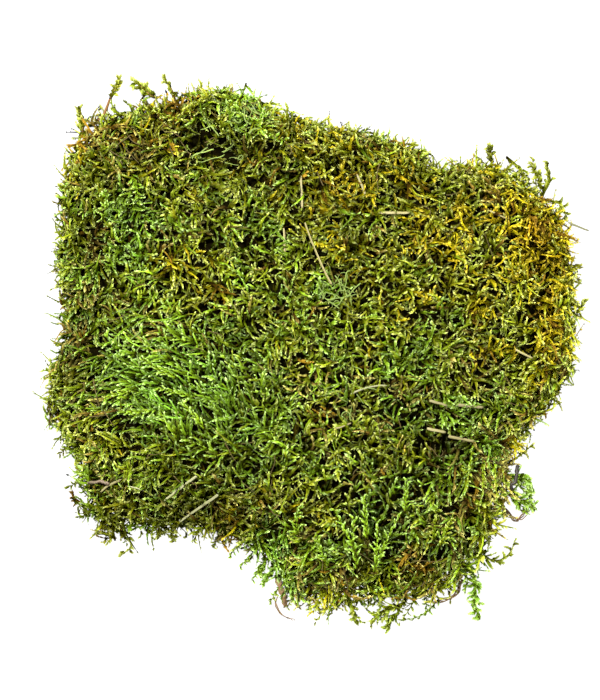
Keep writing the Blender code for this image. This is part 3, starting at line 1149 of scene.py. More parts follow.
FEATHERS = (
    Feather(13, -86, 108, 23, light=1.75, lift=3.0),
    Feather(19, -92, 98, 22, light=1.75, lift=3.0),
    Feather(25, -80, 92, 17, light=1.6, lift=2.5),
    Feather(31, -93, 80, 23, light=1.75, lift=3.0),
    Feather(38, -90, 72, 22, light=1.75, lift=3.0),
    Feather(-9, -82, 100, 15, light=1.35, lift=1.0),
    Feather(2, -98, 120, 15, light=1.3, lift=1.0),
    Feather(45, -70, 96, 13, light=1.7, lift=2.5),
    Feather(60, -84, 88, 16, 0.35, 1.3, lift=2.0, reach=0.35),
    Feather(67, -88, 68, 14, 0.35, 1.3, lift=2.0, reach=0.35),
    Feather(-98, -22, 186, 17, 0.25, 1.35),
    Feather(-90, -31, 200, 16, 0.20, 1.30),
    Feather(-80, -8, 158, 16, 0.20, 1.35),
    Feather(-72, -20, 160, 15, 0.20, 1.30),
    Feather(-62, -30, 130, 15, 0.25, 1.25),
    Feather(-38, 119, 150, 15, 0.10, 1.40),
    Feather(-28, 114, 60, 14, 0.15, 1.40),
    Feather(-20, 106, 320, 14, 0.20, 1.20),
    Feather(-74, 117, 168, 17, 0.45, 1.25, lift=2.0, reach=0.3),
    Feather(-58, 124, 30, 18, 0.55, 1.20, lift=2.0, reach=0.3),
    Feather(-52, 130, 10, 20, 0.30, 1.20, lift=2.0, reach=0.3),
    Feather(91, -68, 272, 26, 0.30, 1.45, lift=2.0, reach=0.22),
    Feather(98, -70, 266, 22, 0.40, 1.35, lift=2.0, reach=0.22),
    Feather(84, -72, 280, 20, 0.30, 1.35, lift=1.5, reach=0.25),
    Feather(103, -76, 288, 18, 0.50, 1.25, lift=2.0, reach=0.25),
    Feather(77, -62, 266, 20, 0.30, 1.30, lift=1.0, reach=0.20),
    Feather(104, -66, 335, 12, 0.20, 0.95, lift=5.0, reach=0.6),
    Feather(107, -72, 305, 12, 0.20, 0.95, lift=6.0, reach=0.6),
    Feather(104, -78, 320, 13, 0.20, 0.95, lift=4.0, reach=0.6),
    Feather(78, -112, 290, 15, 0.20, 1.10, lift=2.0, reach=0.4),
    Feather(57, -128, 265, 13, 0.05, 1.25, lift=2.0, reach=0.5),
    Feather(33, -131, 262, 17, 0.35, 1.00, lift=4.0, reach=0.3),
    Feather(20, -134, 284, 19, 0.35, 1.05, lift=4.0, reach=0.22),
    Feather(4, -132, 238, 20, 0.50, 1.00, lift=4.0, reach=0.25),
    Feather(10, -131, 262, 16, 0.55, 0.85, lift=3.0, reach=0.25),
    Feather(-12, -127, 245, 15, 0.45, 1.00, lift=3.0, reach=0.3),
    Feather(-20, -124, 225, 14, 0.30, 1.05, lift=3.0, reach=0.3),
    Feather(47, -134, 242, 19, 0.35, 0.90, lift=4.0, reach=0.3),
    Feather(53, -136, 232, 20, 0.25, 0.85, lift=3.0, reach=0.3),
    Feather(-29, -112, 222, 17, 0.10, 1.15, lift=4.0, reach=0.35),
    Feather(-34, -106, 228, 15, 0.10, 1.10, lift=4.0, reach=0.35),
    Feather(-40, -101, 225, 12, 0.20, 1.00, lift=4.0, reach=0.35),
    Feather(-50, -97, 240, 11, 0.45, 0.95, lift=4.0, reach=0.35),
    Feather(-60, -93, 245, 11, 0.45, 0.90, lift=4.0, reach=0.35),
    Feather(-102, -91, 324, 22, 0.40, 0.55, lift=5.0, reach=0.25),
    Feather(-98, -94, 312, 15, 0.35, 0.50, lift=4.0, reach=0.25),
    Feather(-112, -84, 318, 18, 0.45, 0.45, lift=4.0, reach=0.25),
    Feather(-106, -84, 300, 12, 0.45, 0.60, lift=4.0, reach=0.25),
    Feather(-85, -92, 330, 14, 0.40, 0.55, lift=4.0, reach=0.25),
    Feather(-75, -94, 320, 12, 0.40, 0.60, lift=4.0, reach=0.25),
    Feather(-122, -68, 215, 12, 0.45, 0.60, lift=3.0, reach=0.3),
    Feather(-126, -50, 240, 12, 0.60, 0.50, lift=3.0, reach=0.3),
    Feather(112, 92, 95, 17, 0.62, 1.15, lift=2.0, reach=0.4),
    Feather(104, 84, 110, 16, 0.66, 1.15, reach=0.4),
    Feather(86, 96, 120, 14, 0.60, 1.15, reach=0.4),
    Feather(-104, 74, 60, 13, 0.15, 1.10),
    Feather(-88, 78, 300, 13, 0.15, 1.15),
)


@dataclass
class Canopy:
    """The living layer: single shoots and feathered fronds over the whole top and rim, in five kinds."""

    pad: PadForm
    growth: Growth
    grower: Grower
    spacing: float = 3.5 * MM
    frond_spacing: float = 10.3 * MM
    frond_length: float = 13.0 * MM
    deepest: float = 5.0 * MM
    fringe_count: int = 250
    fringe_length: float = 13.0 * MM
    fringe_longest: float = 18.0 * MM
    claw_count: int = 280
    claw_length: float = 11.5 * MM
    claw_longest: float = 15.0 * MM
    feather_branches: int = 13
    feather_width: float = 0.8
    most: int = 2700
    form: LeafyForm = LeafyForm()

    def grown_spots(self, spacing: float, rng: np.random.Generator,
                    facing: tuple[float, float]) -> tuple[Array, Array]:
        """Even spots over the pad and the normals there, less those where the growth is bare.

        Args:
            spacing: about how far apart they are.
            rng: the source of chance.
            facing: lowest and highest Z of the face's normal.

        Returns:
            The spots and the outward normals there.
        """
        spots, normals = self.pad.even_spots(spacing, rng, facing)
        kept = self.growth.kept(spots, rng)
        return spots[kept], normals[kept]

    def headings(self, spots: Array, normals: Array, rng: np.random.Generator,
                 spread: float) -> tuple[Array, Array]:
        """Directions in which shoots start.

        They lean 63 degrees from the surface's normal, 52 on the rim and 4 more where they are combed. The
        lean scatters by 14 degrees, and by half of that where they are combed.

        Args:
            spots: where they grow.
            normals: the pad's outward directions there.
            rng: the source of chance.
            spread: how far the lie scatters, in radians.

        Returns:
            Unit headings, and the level lie of each within the surface.
        """
        jitter = rng.normal(0.0, spread, len(spots)) * (1.0 - 0.7 * self.growth.combed(spots))
        lie = self.growth.lie(spots)
        turned = compass(np.arctan2(lie[:, 1], lie[:, 0]) + jitter)
        rim = smooth_step((self.pad.rim_share(spots) - 0.86) / 0.14)
        outward = unit(spots * [1.0, 1.0, 0.0])
        turned = unit(turned + (0.8 * rim)[:, None] * outward)
        lie = across(turned + 1e-6, normals)
        combed = self.growth.combed(spots)
        scatter = (1.0 - 0.5 * combed) * rng.normal(0.0, 14.0, len(spots))
        lean = np.radians(blend(63.0, 52.0, rim) + 4.0 * combed + scatter)[:, None]
        return unit(np.cos(lean) * normals + np.sin(lean) * lie), lie

    def singles(self, rng: np.random.Generator) -> Shoots:
        """Single shoots, evenly over the pad, darker the deeper they sit, as painted shade.

        Args:
            rng: the source of chance.

        Returns:
            The shoots.
        """
        spots, normals = self.grown_spots(self.spacing, rng, (-0.50, 1.1))
        heading, _ = self.headings(spots, normals, rng, 0.75)
        sunk = rng.beta(1.2, 1.9, len(spots))
        depth = self.deepest * sunk - 0.8 * MM + self.growth.sunk(spots) - self.growth.mound(spots)
        length = self.grower.length * self.growth.stretch(spots) * rng.lognormal(0.0, 0.24, len(spots))
        width = self.grower.width * rng.lognormal(0.0, 0.13, len(spots))
        shoots = self.grower.shoots(spots - normals * depth[:, None], normals, heading, length, width, rng)
        # Painted shade: shoots set deeper into the pad are darkened, as the shade of the shoots above them.
        shoots.light = shoots.light * blend(1.32, 0.22, np.sqrt(sunk))
        return shoots

    def fronds(self, rng: np.random.Generator) -> Shoots:
        """Fronds that lie on the pad among the single shoots.

        Args:
            rng: the source of chance.

        Returns:
            Their stems and side shoots.
        """
        spots, normals = self.grown_spots(self.frond_spacing, rng, (0.2, 1.1))
        _, lie = self.headings(spots, normals, rng, 0.6)
        count = len(spots)
        rise = np.radians(rng.normal(12.0, 9.0, count))[:, None]
        heading = unit(np.cos(rise) * lie + np.sin(rise) * normals)
        length = self.frond_length * self.growth.stretch(spots) * rng.lognormal(0.0, 0.2, count)
        depth = 1.2 * MM + 1.6 * MM * rng.random(count) + self.growth.sunk(spots) - self.growth.mound(spots)
        return self.grower.fronds(spots - normals * depth[:, None], normals, heading, length, rng)

    def feathers(self, rng: np.random.Generator) -> Shoots:
        """The fronds that stand out, lying on top of the rest.

        Args:
            rng: the source of chance.

        Returns:
            Their stems and side shoots.
        """
        spots = np.array([[feather.x, feather.y, 0.0] for feather in FEATHERS]) * MM
        rows = [(each.lift, each.azimuth, each.length, each.age, each.light, each.reach) for each in FEATHERS]
        lift, azimuth, length, age, light, reach = np.array(rows).T
        spots[:, 2] = self.pad.height(spots) + lift * MM
        normals = np.tile(UP, (len(spots), 1))
        heading = unit(compass(np.radians(azimuth)) + 0.12 * UP)
        grower = Grower(self.growth, branches=self.feather_branches)
        fronds = grower.fronds(spots, normals, heading, length * MM, rng, opening=36.0, reach=reach[:, None],
                               curl=0.3)
        fronds.width = fronds.width * self.feather_width
        owner = np.append(np.arange(len(spots)), np.repeat(np.arange(len(spots)), grower.branches))
        fronds.age = age[owner] + rng.normal(0.0, 0.05, len(owner))
        fronds.light = light[owner] * rng.lognormal(0.0, 0.08, len(owner))
        fronds.faded = np.zeros(len(owner))
        return fronds

    def rim_starts(self, count: int, depth: float, rng: np.random.Generator) -> tuple[Array, Array, Array]:
        """Places along the rim, all round and a little apart, from which shoots spring outwards and down.

        Args:
            count: how many.
            depth: how far inside the rim they lie, in metres.
            rng: the source of chance.

        Returns:
            The places, the upward sides and the headings.
        """
        azimuth = 2 * np.pi * (np.arange(count) + rng.normal(0.0, 0.8, count)) / count
        out = compass(azimuth)
        level = (1.5 + 14.0 * rng.random(count)) * MM
        inset = depth + rng.normal(0.0, 1.8, count) * MM
        reach = self.pad.reach(azimuth)
        inset = inset - self.growth.spread(out * reach[:, None])
        spots = out * (reach - inset)[:, None] + UP * level[:, None]
        swing = np.radians(rng.normal(0.0, 34.0, count))
        dip = rng.normal(-0.05, 0.22, (count, 1))
        heading = unit(compass(azimuth + swing) + dip * UP)
        return spots, across(np.tile(UP, (count, 1)) + 0.5 * out, heading), heading

    def fringe(self, rng: np.random.Generator) -> Shoots:
        """Fronds that spring out of the rim all round, in loose clusters, drooping towards the ground.

        Args:
            rng: the source of chance.

        Returns:
            Their stems and side shoots.
        """
        spots, normals, heading = self.rim_starts(self.fringe_count, 5.2 * MM, rng)
        length = self.fringe_length * self.growth.stretch(spots)
        length = np.minimum(length * rng.lognormal(-0.1, 0.25, self.fringe_count), self.fringe_longest)
        fringe = self.grower.fronds(spots, normals, heading, length, rng)
        # Painted light: rim fronds brightened, as they sit in the shade of the pad above them.
        fringe.light = fringe.light * 1.3
        fringe.width = fringe.width * 1.15
        return fringe

    def claws(self, rng: np.random.Generator) -> Shoots:
        """Single shoots that hang out of the rim, long and tapering, and hooked like claws.

        Args:
            rng: the source of chance.

        Returns:
            The shoots.
        """
        spots, normals, heading = self.rim_starts(self.claw_count, 5.4 * MM, rng)
        stretch = self.growth.stretch(spots)
        length = self.claw_length * stretch**1.3 * rng.lognormal(0.0, 0.25, self.claw_count)
        length = np.minimum(length, self.claw_longest)
        width = self.grower.width * stretch**0.5 * rng.lognormal(0.0, 0.15, self.claw_count)
        claws = self.grower.shoots(spots, normals, heading, length, width, rng, curl=1.2, held_at=0.35)
        # Painted light: rim shoots brightened, as they sit in the shade of the pad above them.
        claws.light = claws.light * 1.3
        return claws

    def build(self) -> None:
        """Grows every shoot, sorts them into kinds by age and chance, and adds a piece for each kind."""
        rng = np.random.default_rng(21)
        shoots = Shoots.joined([self.singles(rng), self.fronds(rng), self.fringe(rng), self.claws(rng),
                                self.feathers(rng)])
        dead = rng.random(len(shoots)) < shoots.faded
        spans = {MossKind.FRESH: (-0.3, 0.30), MossKind.OLIVE: (0.30, 0.74), MossKind.GOLDEN: (0.74, 1.3),
                 MossKind.FADED: (-0.3, 0.55), MossKind.BROWN: (0.55, 1.3)}
        ages = np.clip(shoots.age, -0.29, 1.29)
        for kind, (low, high) in spans.items():
            wanted = dead if kind in (MossKind.FADED, MossKind.BROWN) else ~dead
            chosen = wanted & (ages >= low) & (ages < high)
            group = shoots.some(chosen)
            group.age = np.clip((group.age - low) / (high - low), 0.0, 1.0)
            material = kind.value.material()
            order = np.argsort(group.foot[:, 0])
            for number, part in enumerate(np.array_split(order, -(-len(group) // self.most))):
                these = group.some(part)
                points, faces, numbers = self.form.clad(these.line, these.over, these.width, these.age,
                                                        these.light, rng)
                keep_above_table(points)
                add_piece(f"{kind.value.name}_shoots_{number + 1}", points, faces, material, PAD, numbers)


# ---------------------------------------------------------------- what lies under the living layer


@dataclass
class Bed:
    """The mat that carries the living layer: a lumpy closed body a little inside the pad's outline."""

    pad: PadForm
    growth: Growth
    depth: float = 7.5 * MM
    inset: float = 4.0 * MM
    rings: int = 40
    turns: int = 128
    floor: float = 0.5 * MM

    def build(self) -> None:
        """Adds the mat.

        A point at share v of the way out and azimuth a is (v R(a) cos a, v R(a) sin a), with R the pad's
        reach less the inset and a ragged 3 mm. The top is the pad's height less the depth, with lumps; the
        underside is level but for crumbs.
        """
        azimuth = np.arange(self.turns) * 2 * np.pi / self.turns
        share = np.sqrt(np.linspace(0.0, 1.0, self.rings))[1:]
        out = compass(azimuth)
        ragged = 3.0 * MM * Drift(3.5 * MM, 34)(out * self.pad.reach(azimuth)[:, None])
        level = out * (self.pad.reach(azimuth) - self.inset - ragged)[:, None]
        plan = share[:, None, None] * level[None]
        flat = plan.reshape(-1, 3)
        lumps = 3.2 * MM * (Drift(4.5 * MM, 31)(flat) - 0.5) + 2.0 * MM * (Drift(12 * MM, 32)(flat) - 0.5)
        top = self.pad.height(flat) - self.depth - self.growth.sunk(flat) + lumps
        ease = smooth_step((1.0 - np.repeat(share, self.turns)) * 14)
        upper = flat + UP * (np.maximum(blend(4.0 * MM, top, ease), 3.0 * MM))[:, None]
        lower = (share[::-1, None, None] * level[None] * 0.97).reshape(-1, 3)
        lower = lower + UP * (self.floor + 1.2 * MM * Drift(3 * MM, 33)(lower))[:, None]
        tops = np.array([[0.0, 0.0, self.pad.height(np.zeros((1, 3)))[0] - self.depth]])
        points = np.concatenate([tops, upper, lower, [[0.0, 0.0, self.floor]]])
        below = np.append(np.zeros(1 + len(upper)), np.ones(len(lower) + 1))
        add_piece("humus_mat", points, capped_tube(2 * (self.rings - 1), self.turns), HUMUS.material(), PAD,
                  {"below": below}, smooth=True, stands_for=(PAD,))


def capped_tube(rings: int, sides: int) -> Array:
    """Triangles of a closed tube: a point, rings that turn right seen from the far end, and a point.

    Args:
        rings: how many rings there are.
        sides: points in each.

    Returns:
        Three vertex numbers a row, facing outwards.
    """
    ring, i = np.meshgrid(np.arange(rings - 1), np.arange(sides), indexing="ij")
    a, b = 1 + ring * sides + i, 1 + ring * sides + (i + 1) % sides
    i = np.arange(sides)
    first, last, end = 1 + i, 1 + (rings - 1) * sides + i, 1 + rings * sides
    first_next, last_next = 1 + (i + 1) % sides, 1 + (rings - 1) * sides + (i + 1) % sides
    return np.concatenate([
        np.stack([b, a, a + sides], -1).reshape(-1, 3),
        np.stack([b + sides, b, a + sides], -1).reshape(-1, 3),
        np.stack([np.zeros(sides, int), first, first_next], -1),
        np.stack([last_next, last, np.full(sides, end)], -1),
    ])


@dataclass(frozen=True)
class Section:
    """The section of a stem, straw or needle."""

    sides: int = 3
    flat: float = 1.0
    fold: float = 0.0

    def tubes(self, middle: Array, width: Array, over: Array, grain: Array, light: Array) -> Surface:
        """Closed tubes round lines of points: a ring at each station, and a point at each end.

        A ring's point is p + r cos a side + r (flat sin a + fold |cos a|) over, with r half the width.

        Args:
            middle: points, by line and station.
            width: width at each of them.
            over: the upward side of each line.
            grain: streak of each side, from 0 to 1.
            light: brightness of each line.

        Returns:
            Points, triangles, and the attributes grain and light.
        """
        total, stations = width.shape
        _, side, raised = line_frames(middle, over)
        angle = np.arange(self.sides) * 2 * np.pi / self.sides + 0.3
        rise = self.flat * np.sin(angle) + self.fold * np.abs(np.cos(angle))
        ring = np.cos(angle)[:, None] * side[:, :, None] + rise[:, None] * raised[:, :, None]
        rings = middle[:, :, None] + width[:, :, None, None] / 2 * ring
        points = np.concatenate([middle[:, :1], rings.reshape(total, -1, 3), middle[:, -1:]], 1)
        each = points.shape[1]
        faces = capped_tube(stations, self.sides)[None] + (np.arange(total) * each)[:, None, None]
        streak = np.concatenate([[0.4], np.tile(grain, stations), [0.4]])
        numbers = {"grain": np.tile(streak, total), "light": np.repeat(light, each)}
        return points.reshape(-1, 3), faces.reshape(-1, 3), numbers


@dataclass
class Undergrowth:
    """Old stems under the living layer and over the whole underside: thin, curved, brown and matted."""

    pad: PadForm
    growth: Growth
    spacing: float = 6.0 * MM
    stations: int = 4

    def inner_spots(self, facing: tuple[float, float], rng: np.random.Generator) -> tuple[Array, Array]:
        """Even spots on the faces that face so far up, and the normals there, without those near the rim.

        Args:
            facing: lowest and highest Z of the face's normal.
            rng: the source of chance.

        Returns:
            The spots and the normals.
        """
        spots, normals = self.pad.even_spots(self.spacing, rng, facing)
        kept = self.pad.rim_share(spots) < 0.94
        return spots[kept], normals[kept]

    def stems(self, spots: Array, normals: Array, depth: Array, lean: float, length: float, width: float,
              rng: np.random.Generator) -> Surface:
        """Three-sided stems along p(s) = foot + length (s heading + s^2 bend), tapering to a fifth.

        Args:
            spots: where they lie on the pad's outline.
            normals: the outward directions there.
            depth: how far inside the outline they lie.
            lean: their lean from the normal, in degrees.
            length: their usual length.
            width: their usual width.
            rng: the source of chance.

        Returns:
            Points, triangles, and the attributes grain and light.
        """
        count = len(spots)
        lie = across(compass(rng.random(count) * 2 * np.pi) + 1e-6, normals)
        tilt = np.radians(lean + rng.normal(0.0, 10.0, count))[:, None]
        heading = unit(np.cos(tilt) * normals + np.sin(tilt) * lie)
        bend = np.cross(heading, normals) * rng.normal(0.0, 0.4, (count, 1))
        size = length * rng.lognormal(0.0, 0.3, (count, 1, 1))
        s = np.linspace(0.0, 1.0, self.stations)[None, :, None]
        foot = spots - normals * depth[:, None]
        middle = foot[:, None] + size * ((s - 0.5) * heading[:, None] + (s**2 - 0.25) * bend[:, None])
        girth = width * rng.lognormal(0.0, 0.25, (count, 1)) * (1.0 - 0.8 * s[..., 0])
        grain = rng.random(3)
        return Section().tubes(middle, girth, normals, grain, np.clip(rng.normal(0.8, 0.2, count), 0.2, 1.2))

    def build(self) -> None:
        """Adds the stems under the living layer, and the felt of the underside."""
        rng = np.random.default_rng(41)
        spots, normals = self.inner_spots((0.6, 1.1), rng)
        depth = (4.5 + 4.0 * rng.random(len(spots))) * MM + self.growth.sunk(spots)
        points, faces, numbers = self.stems(spots, normals, depth, 82.0, 9.0 * MM, 1.0 * MM, rng)
        keep_above_table(points)
        add_piece("old_stems", points, faces, OLD_STEM.material(), "dead_stem", numbers)
        spots, normals = self.inner_spots((-1.1, -0.5), rng)
        depth = (0.4 + 1.2 * rng.random(len(spots))) * MM
        points, faces, numbers = self.stems(spots, normals, depth, 88.0, 16.0 * MM, 1.2 * MM, rng)
        keep_above_table(points, CLEARANCE / 2)
        add_piece("underside_felt", points, faces, FELT.material(), "dead_stem", numbers)


# ---------------------------------------------------------------- loose strands


class Strand:
    """The middle line of one of the frame's thin nodes, read from its mesh."""

    def __init__(self, node: str, samples: int = 25, turned: bool = False, degree: int = 6) -> None:
        """Orders the node's corners by their walk over its surface from one end, and averages them in turn.

        Args:
            node: the frame's node.
            samples: how many points the middle line keeps.
            turned: true if the line starts at the end that lies farther from the pad's middle.
            degree: of the polynomials that smooth the line.
        """
        points, triangles = node_triangles(node)
        points, index = np.unique(np.round(points, 6), axis=0, return_inverse=True)
        triangles = index.ravel()[triangles]
        pairs = ([0, 1], [1, 2], [2, 0], [1, 0], [2, 1], [0, 2])
        ends = np.concatenate([triangles[:, pair] for pair in pairs])
        step = np.linalg.norm(points[ends[:, 0]] - points[ends[:, 1]], axis=1)
        start = int(np.argmax(self.walk(ends, step, 0, len(points))))
        walked = self.walk(ends, step, start, len(points))
        weight = np.exp(-(((walked / walked.max())[None] - np.linspace(0, 1, samples)[:, None]) / 0.05) ** 2)
        self.points = (weight / weight.sum(1, keepdims=True)) @ points
        share = np.linspace(0.0, 1.0, samples)
        self.points = np.vander(share, degree + 1) @ np.polyfit(share, self.points, degree)
        inward = np.hypot(*self.points[0, :2]) > np.hypot(*self.points[-1, :2])
        if inward != turned:
            self.points = self.points[::-1]
        self.length = float(np.linalg.norm(np.diff(self.points, axis=0), axis=1).sum())

    @staticmethod
    def walk(ends: Array, step: Array, start: int, count: int) -> Array:
        """The shortest walk along the edges from one corner to each, relaxed until nothing changes.

        Args:
            ends: two corners a row, for each edge both ways.
            step: the length of each edge.
            start: the corner to walk from.
            count: how many corners there are.

        Returns:
            The length of the walk to each corner.
        """
        walked = np.full(count, np.inf)
        walked[start] = 0.0
        for _ in range(count):
            shorter = walked.copy()
            np.minimum.at(shorter, ends[:, 1], walked[ends[:, 0]] + step)
            if np.array_equal(shorter, walked):
                break
            walked = shorter
        return walked

    def line(self, share: Array) -> Array:
        """The points at these shares of the way, as one line; it runs straight on before its start.

        Args:
            share: shares of the way; a negative one lies before the start.

        Returns:
            Points, by line and station.
        """
        known = np.linspace(0.0, 1.0, len(self.points))
        points = np.stack([np.interp(share, known, column) for column in self.points.T], -1)
        ahead = unit(self.points[2] - self.points[0]) * self.length
        return (points + np.minimum(share, 0.0)[:, None] * ahead)[None]


SPRIG_FORM = LeafyForm(leaves=14, core=0.6, blade=1.0, breadth=0.68, opening=26.0)


@dataclass(frozen=True)
class Sprig:
    """One loose leafy sprig of the rim; lengths are in millimetres.

    Bare is the share of the stem without leaves. Stalk is the stem's width against that over the leaves, and
    root is how far the stem runs on into the pad.
    """

    node: str
    kind: MossKind = MossKind.OLIVE
    width: float = 2.8
    forks: int = 4
    fork_length: float = 3.0
    opening: float = 30.0
    bare: float = 0.0
    age: float = 0.5
    light: float = 1.0
    slot: str = "moss_sprig"
    turned: bool = False
    stalk: float = 0.22
    root: float = 5.0

    def stem(self, rng: np.random.Generator) -> Surface:
        """The stem: a tapering tube along the node's line, rooted a little way inside the pad.

        Args:
            rng: the source of chance.

        Returns:
            Points, triangles, and the attributes grain and light.
        """
        strand = Strand(self.node, turned=self.turned)
        share = np.linspace(-self.root * MM / strand.length, 0.9, 12)
        girth = self.stalk * self.width * MM * (1.0 - 0.6 * share)[None]
        light = np.array([self.light])
        return Section(5).tubes(strand.line(share), girth, UP[None] + 0.02, rng.random(5), light)

    def leaves(self, grower: Grower, rng: np.random.Generator) -> Surface:
        """The leafy stem and its leafy forks.

        Args:
            grower: grows the forks.
            rng: the source of chance.

        Returns:
            Points, triangles, and the attributes along, crest, age and light.
        """
        strand = Strand(self.node, turned=self.turned)
        over = UP[None] + 0.02
        leafy = strand.length * (1.0 - self.bare)
        rings, leaves = max(4, int(leafy / (1.5 * MM))), max(9, int(leafy / (0.4 * MM)))
        form = replace(SPRIG_FORM, rings=rings, leaves=leaves)
        age, light = np.array([self.age]), np.array([self.light])
        width = np.array([self.width * MM])
        start = self.bare or -self.root * MM / strand.length
        body = form.clad(lambda share: strand.line(blend(start, 1.0, share)), over, width, age, light, rng)
        if not self.forks:
            return body
        share = blend(max(self.bare, 0.15), 0.92, (np.arange(self.forks) + 0.5) / self.forks)
        ahead = unit(strand.line(share + 0.04) - strand.line(share - 0.04))
        length = self.fork_length * MM * (1.15 - 0.6 * share[None])
        length = length * rng.lognormal(0.0, 0.15, (1, self.forks))
        sides = grower.side_shoots(strand.line(share), ahead, over, length, np.radians(self.opening), rng)
        age = np.full(self.forks, self.age) + rng.normal(0.0, 0.1, self.forks)
        light = self.light * rng.lognormal(0.05, 0.12, self.forks)
        width = 0.85 * width.repeat(self.forks)
        return joined([body, SPRIG_FORM.clad(sides.line, sides.over, width, age, light, rng)])


SPRIGS = (
    Sprig("sprig_brown_stem", MossKind.OLIVE, 3.0, forks=9, fork_length=2.8, bare=0.48, age=0.6, stalk=0.5,
          root=7.0),
    Sprig("sprig_west_corner", MossKind.OLIVE, 3.2, forks=7, fork_length=3.0, age=0.5, light=0.9, stalk=0.35),
    Sprig("sprig_north_fork", MossKind.OLIVE, 4.2, forks=5, fork_length=3.4, age=0.3, stalk=0.35),
    Sprig("sprig_north_curl", MossKind.OLIVE, stalk=0.3),
    Sprig("sprig_north_horn", MossKind.OLIVE, 3.4, forks=8, fork_length=3.2, age=0.5, stalk=0.4),
    Sprig("sprig_northeast_a", MossKind.OLIVE, forks=6),
    Sprig("sprig_northeast_b", MossKind.OLIVE, forks=7),
    Sprig("sprig_northeast_c", MossKind.OLIVE, forks=6),
    Sprig("sprig_northeast_arc", MossKind.OLIVE, forks=6),
    Sprig("sprig_east_tip", MossKind.OLIVE, light=0.9),
    Sprig("sprig_southeast_thin", MossKind.OLIVE, 2.2, light=0.8),
    Sprig("tuft_southeast_a", MossKind.FRESH, 3.0, forks=10, fork_length=5.0, light=0.95),
    Sprig("tuft_southeast_b", MossKind.FRESH, 3.0, forks=10, fork_length=5.0, light=0.95),
    Sprig("sprig_southeast_curl", MossKind.OLIVE, 2.6, forks=6, age=0.3, light=0.8, stalk=0.3),
    Sprig("sprig_south_feather", MossKind.FRESH, 3.4, forks=14, fork_length=4.6, light=1.2),
    Sprig("sprig_south_fan_a", MossKind.OLIVE, 3.2, forks=9, fork_length=9.0, opening=14, age=0.3),
    Sprig("sprig_south_fan_b", MossKind.OLIVE, 3.0, forks=8, fork_length=8.0, opening=15, age=0.1),
    Sprig("sprig_south_blade", MossKind.OLIVE, 3.4, forks=5, opening=14, age=0.2),
    Sprig("sprig_notch_a", MossKind.FRESH, 3.2, forks=5, opening=22),
    Sprig("sprig_notch_b", MossKind.FRESH, 3.2, forks=5, opening=22),
    Sprig("sprig_southwest_tail", MossKind.OLIVE, light=0.8),
    Sprig("sprig_southwest_a", MossKind.OLIVE, light=0.8),
    Sprig("sprig_southwest_b", MossKind.OLIVE, light=0.8),
    Sprig("sprig_southwest_hook", MossKind.BROWN, 2.0, forks=0, age=0.3, light=0.7, slot="dead_stem",
          turned=True),
    Sprig("sprig_west_dark", MossKind.BROWN, 2.4, age=0.6, light=0.6, slot="dead_stem"),
)


@dataclass(frozen=True)
class Fibre:
    """One dry strand or bundle: a straw, needle, twig, root or strip of bark; lengths are in millimetres."""

    node: str
    finish: FibreFinish
    slot: str
    width: float = 1.4
    section: Section = Section(8, 0.40, 0.22)
    strands: int = 1
    wander: float = 0.07
    taper: float = 0.25
    ragged: float = 0.02
    light: float = 1.0
    sunk: float = 1.1

    def surface(self, rng: np.random.Generator) -> Surface:
        """Tubes along the node's line, each swayed by three sine waves, the later ones weaker.

        Args:
            rng: the source of chance.

        Returns:
            Points, triangles, and the attributes grain and light.
        """
        strand = Strand(self.node, degree=2 if self.wander < 0.2 else 8)
        stations = max(9, int(strand.length / (1.1 * MM)))
        share = np.linspace(0.0, 1.0, stations)
        waves = np.arange(1, 4)[:, None, None]
        phase = rng.random((3, self.strands, 1, 3)) * 2 * np.pi
        sway = np.sin(2 * np.pi * waves[..., None] * 1.1 * share[:, None] + phase) / waves[..., None]
        middle = strand.line(share) + self.wander * MM * sway.sum(0) - UP * self.sunk * MM
        rough = 1.0 + self.ragged * rng.normal(size=(self.strands, stations))
        width = self.width * MM * (1.0 - self.taper * share) * rough
        width[:, [0, -1]] *= 0.7
        over = unit(UP[None] + 0.25 * rng.normal(size=(self.strands, 3)))
        light = self.light * rng.lognormal(0.0, 0.12, self.strands)
        return self.section.tubes(middle, width, over, rng.random(self.section.sides), light)


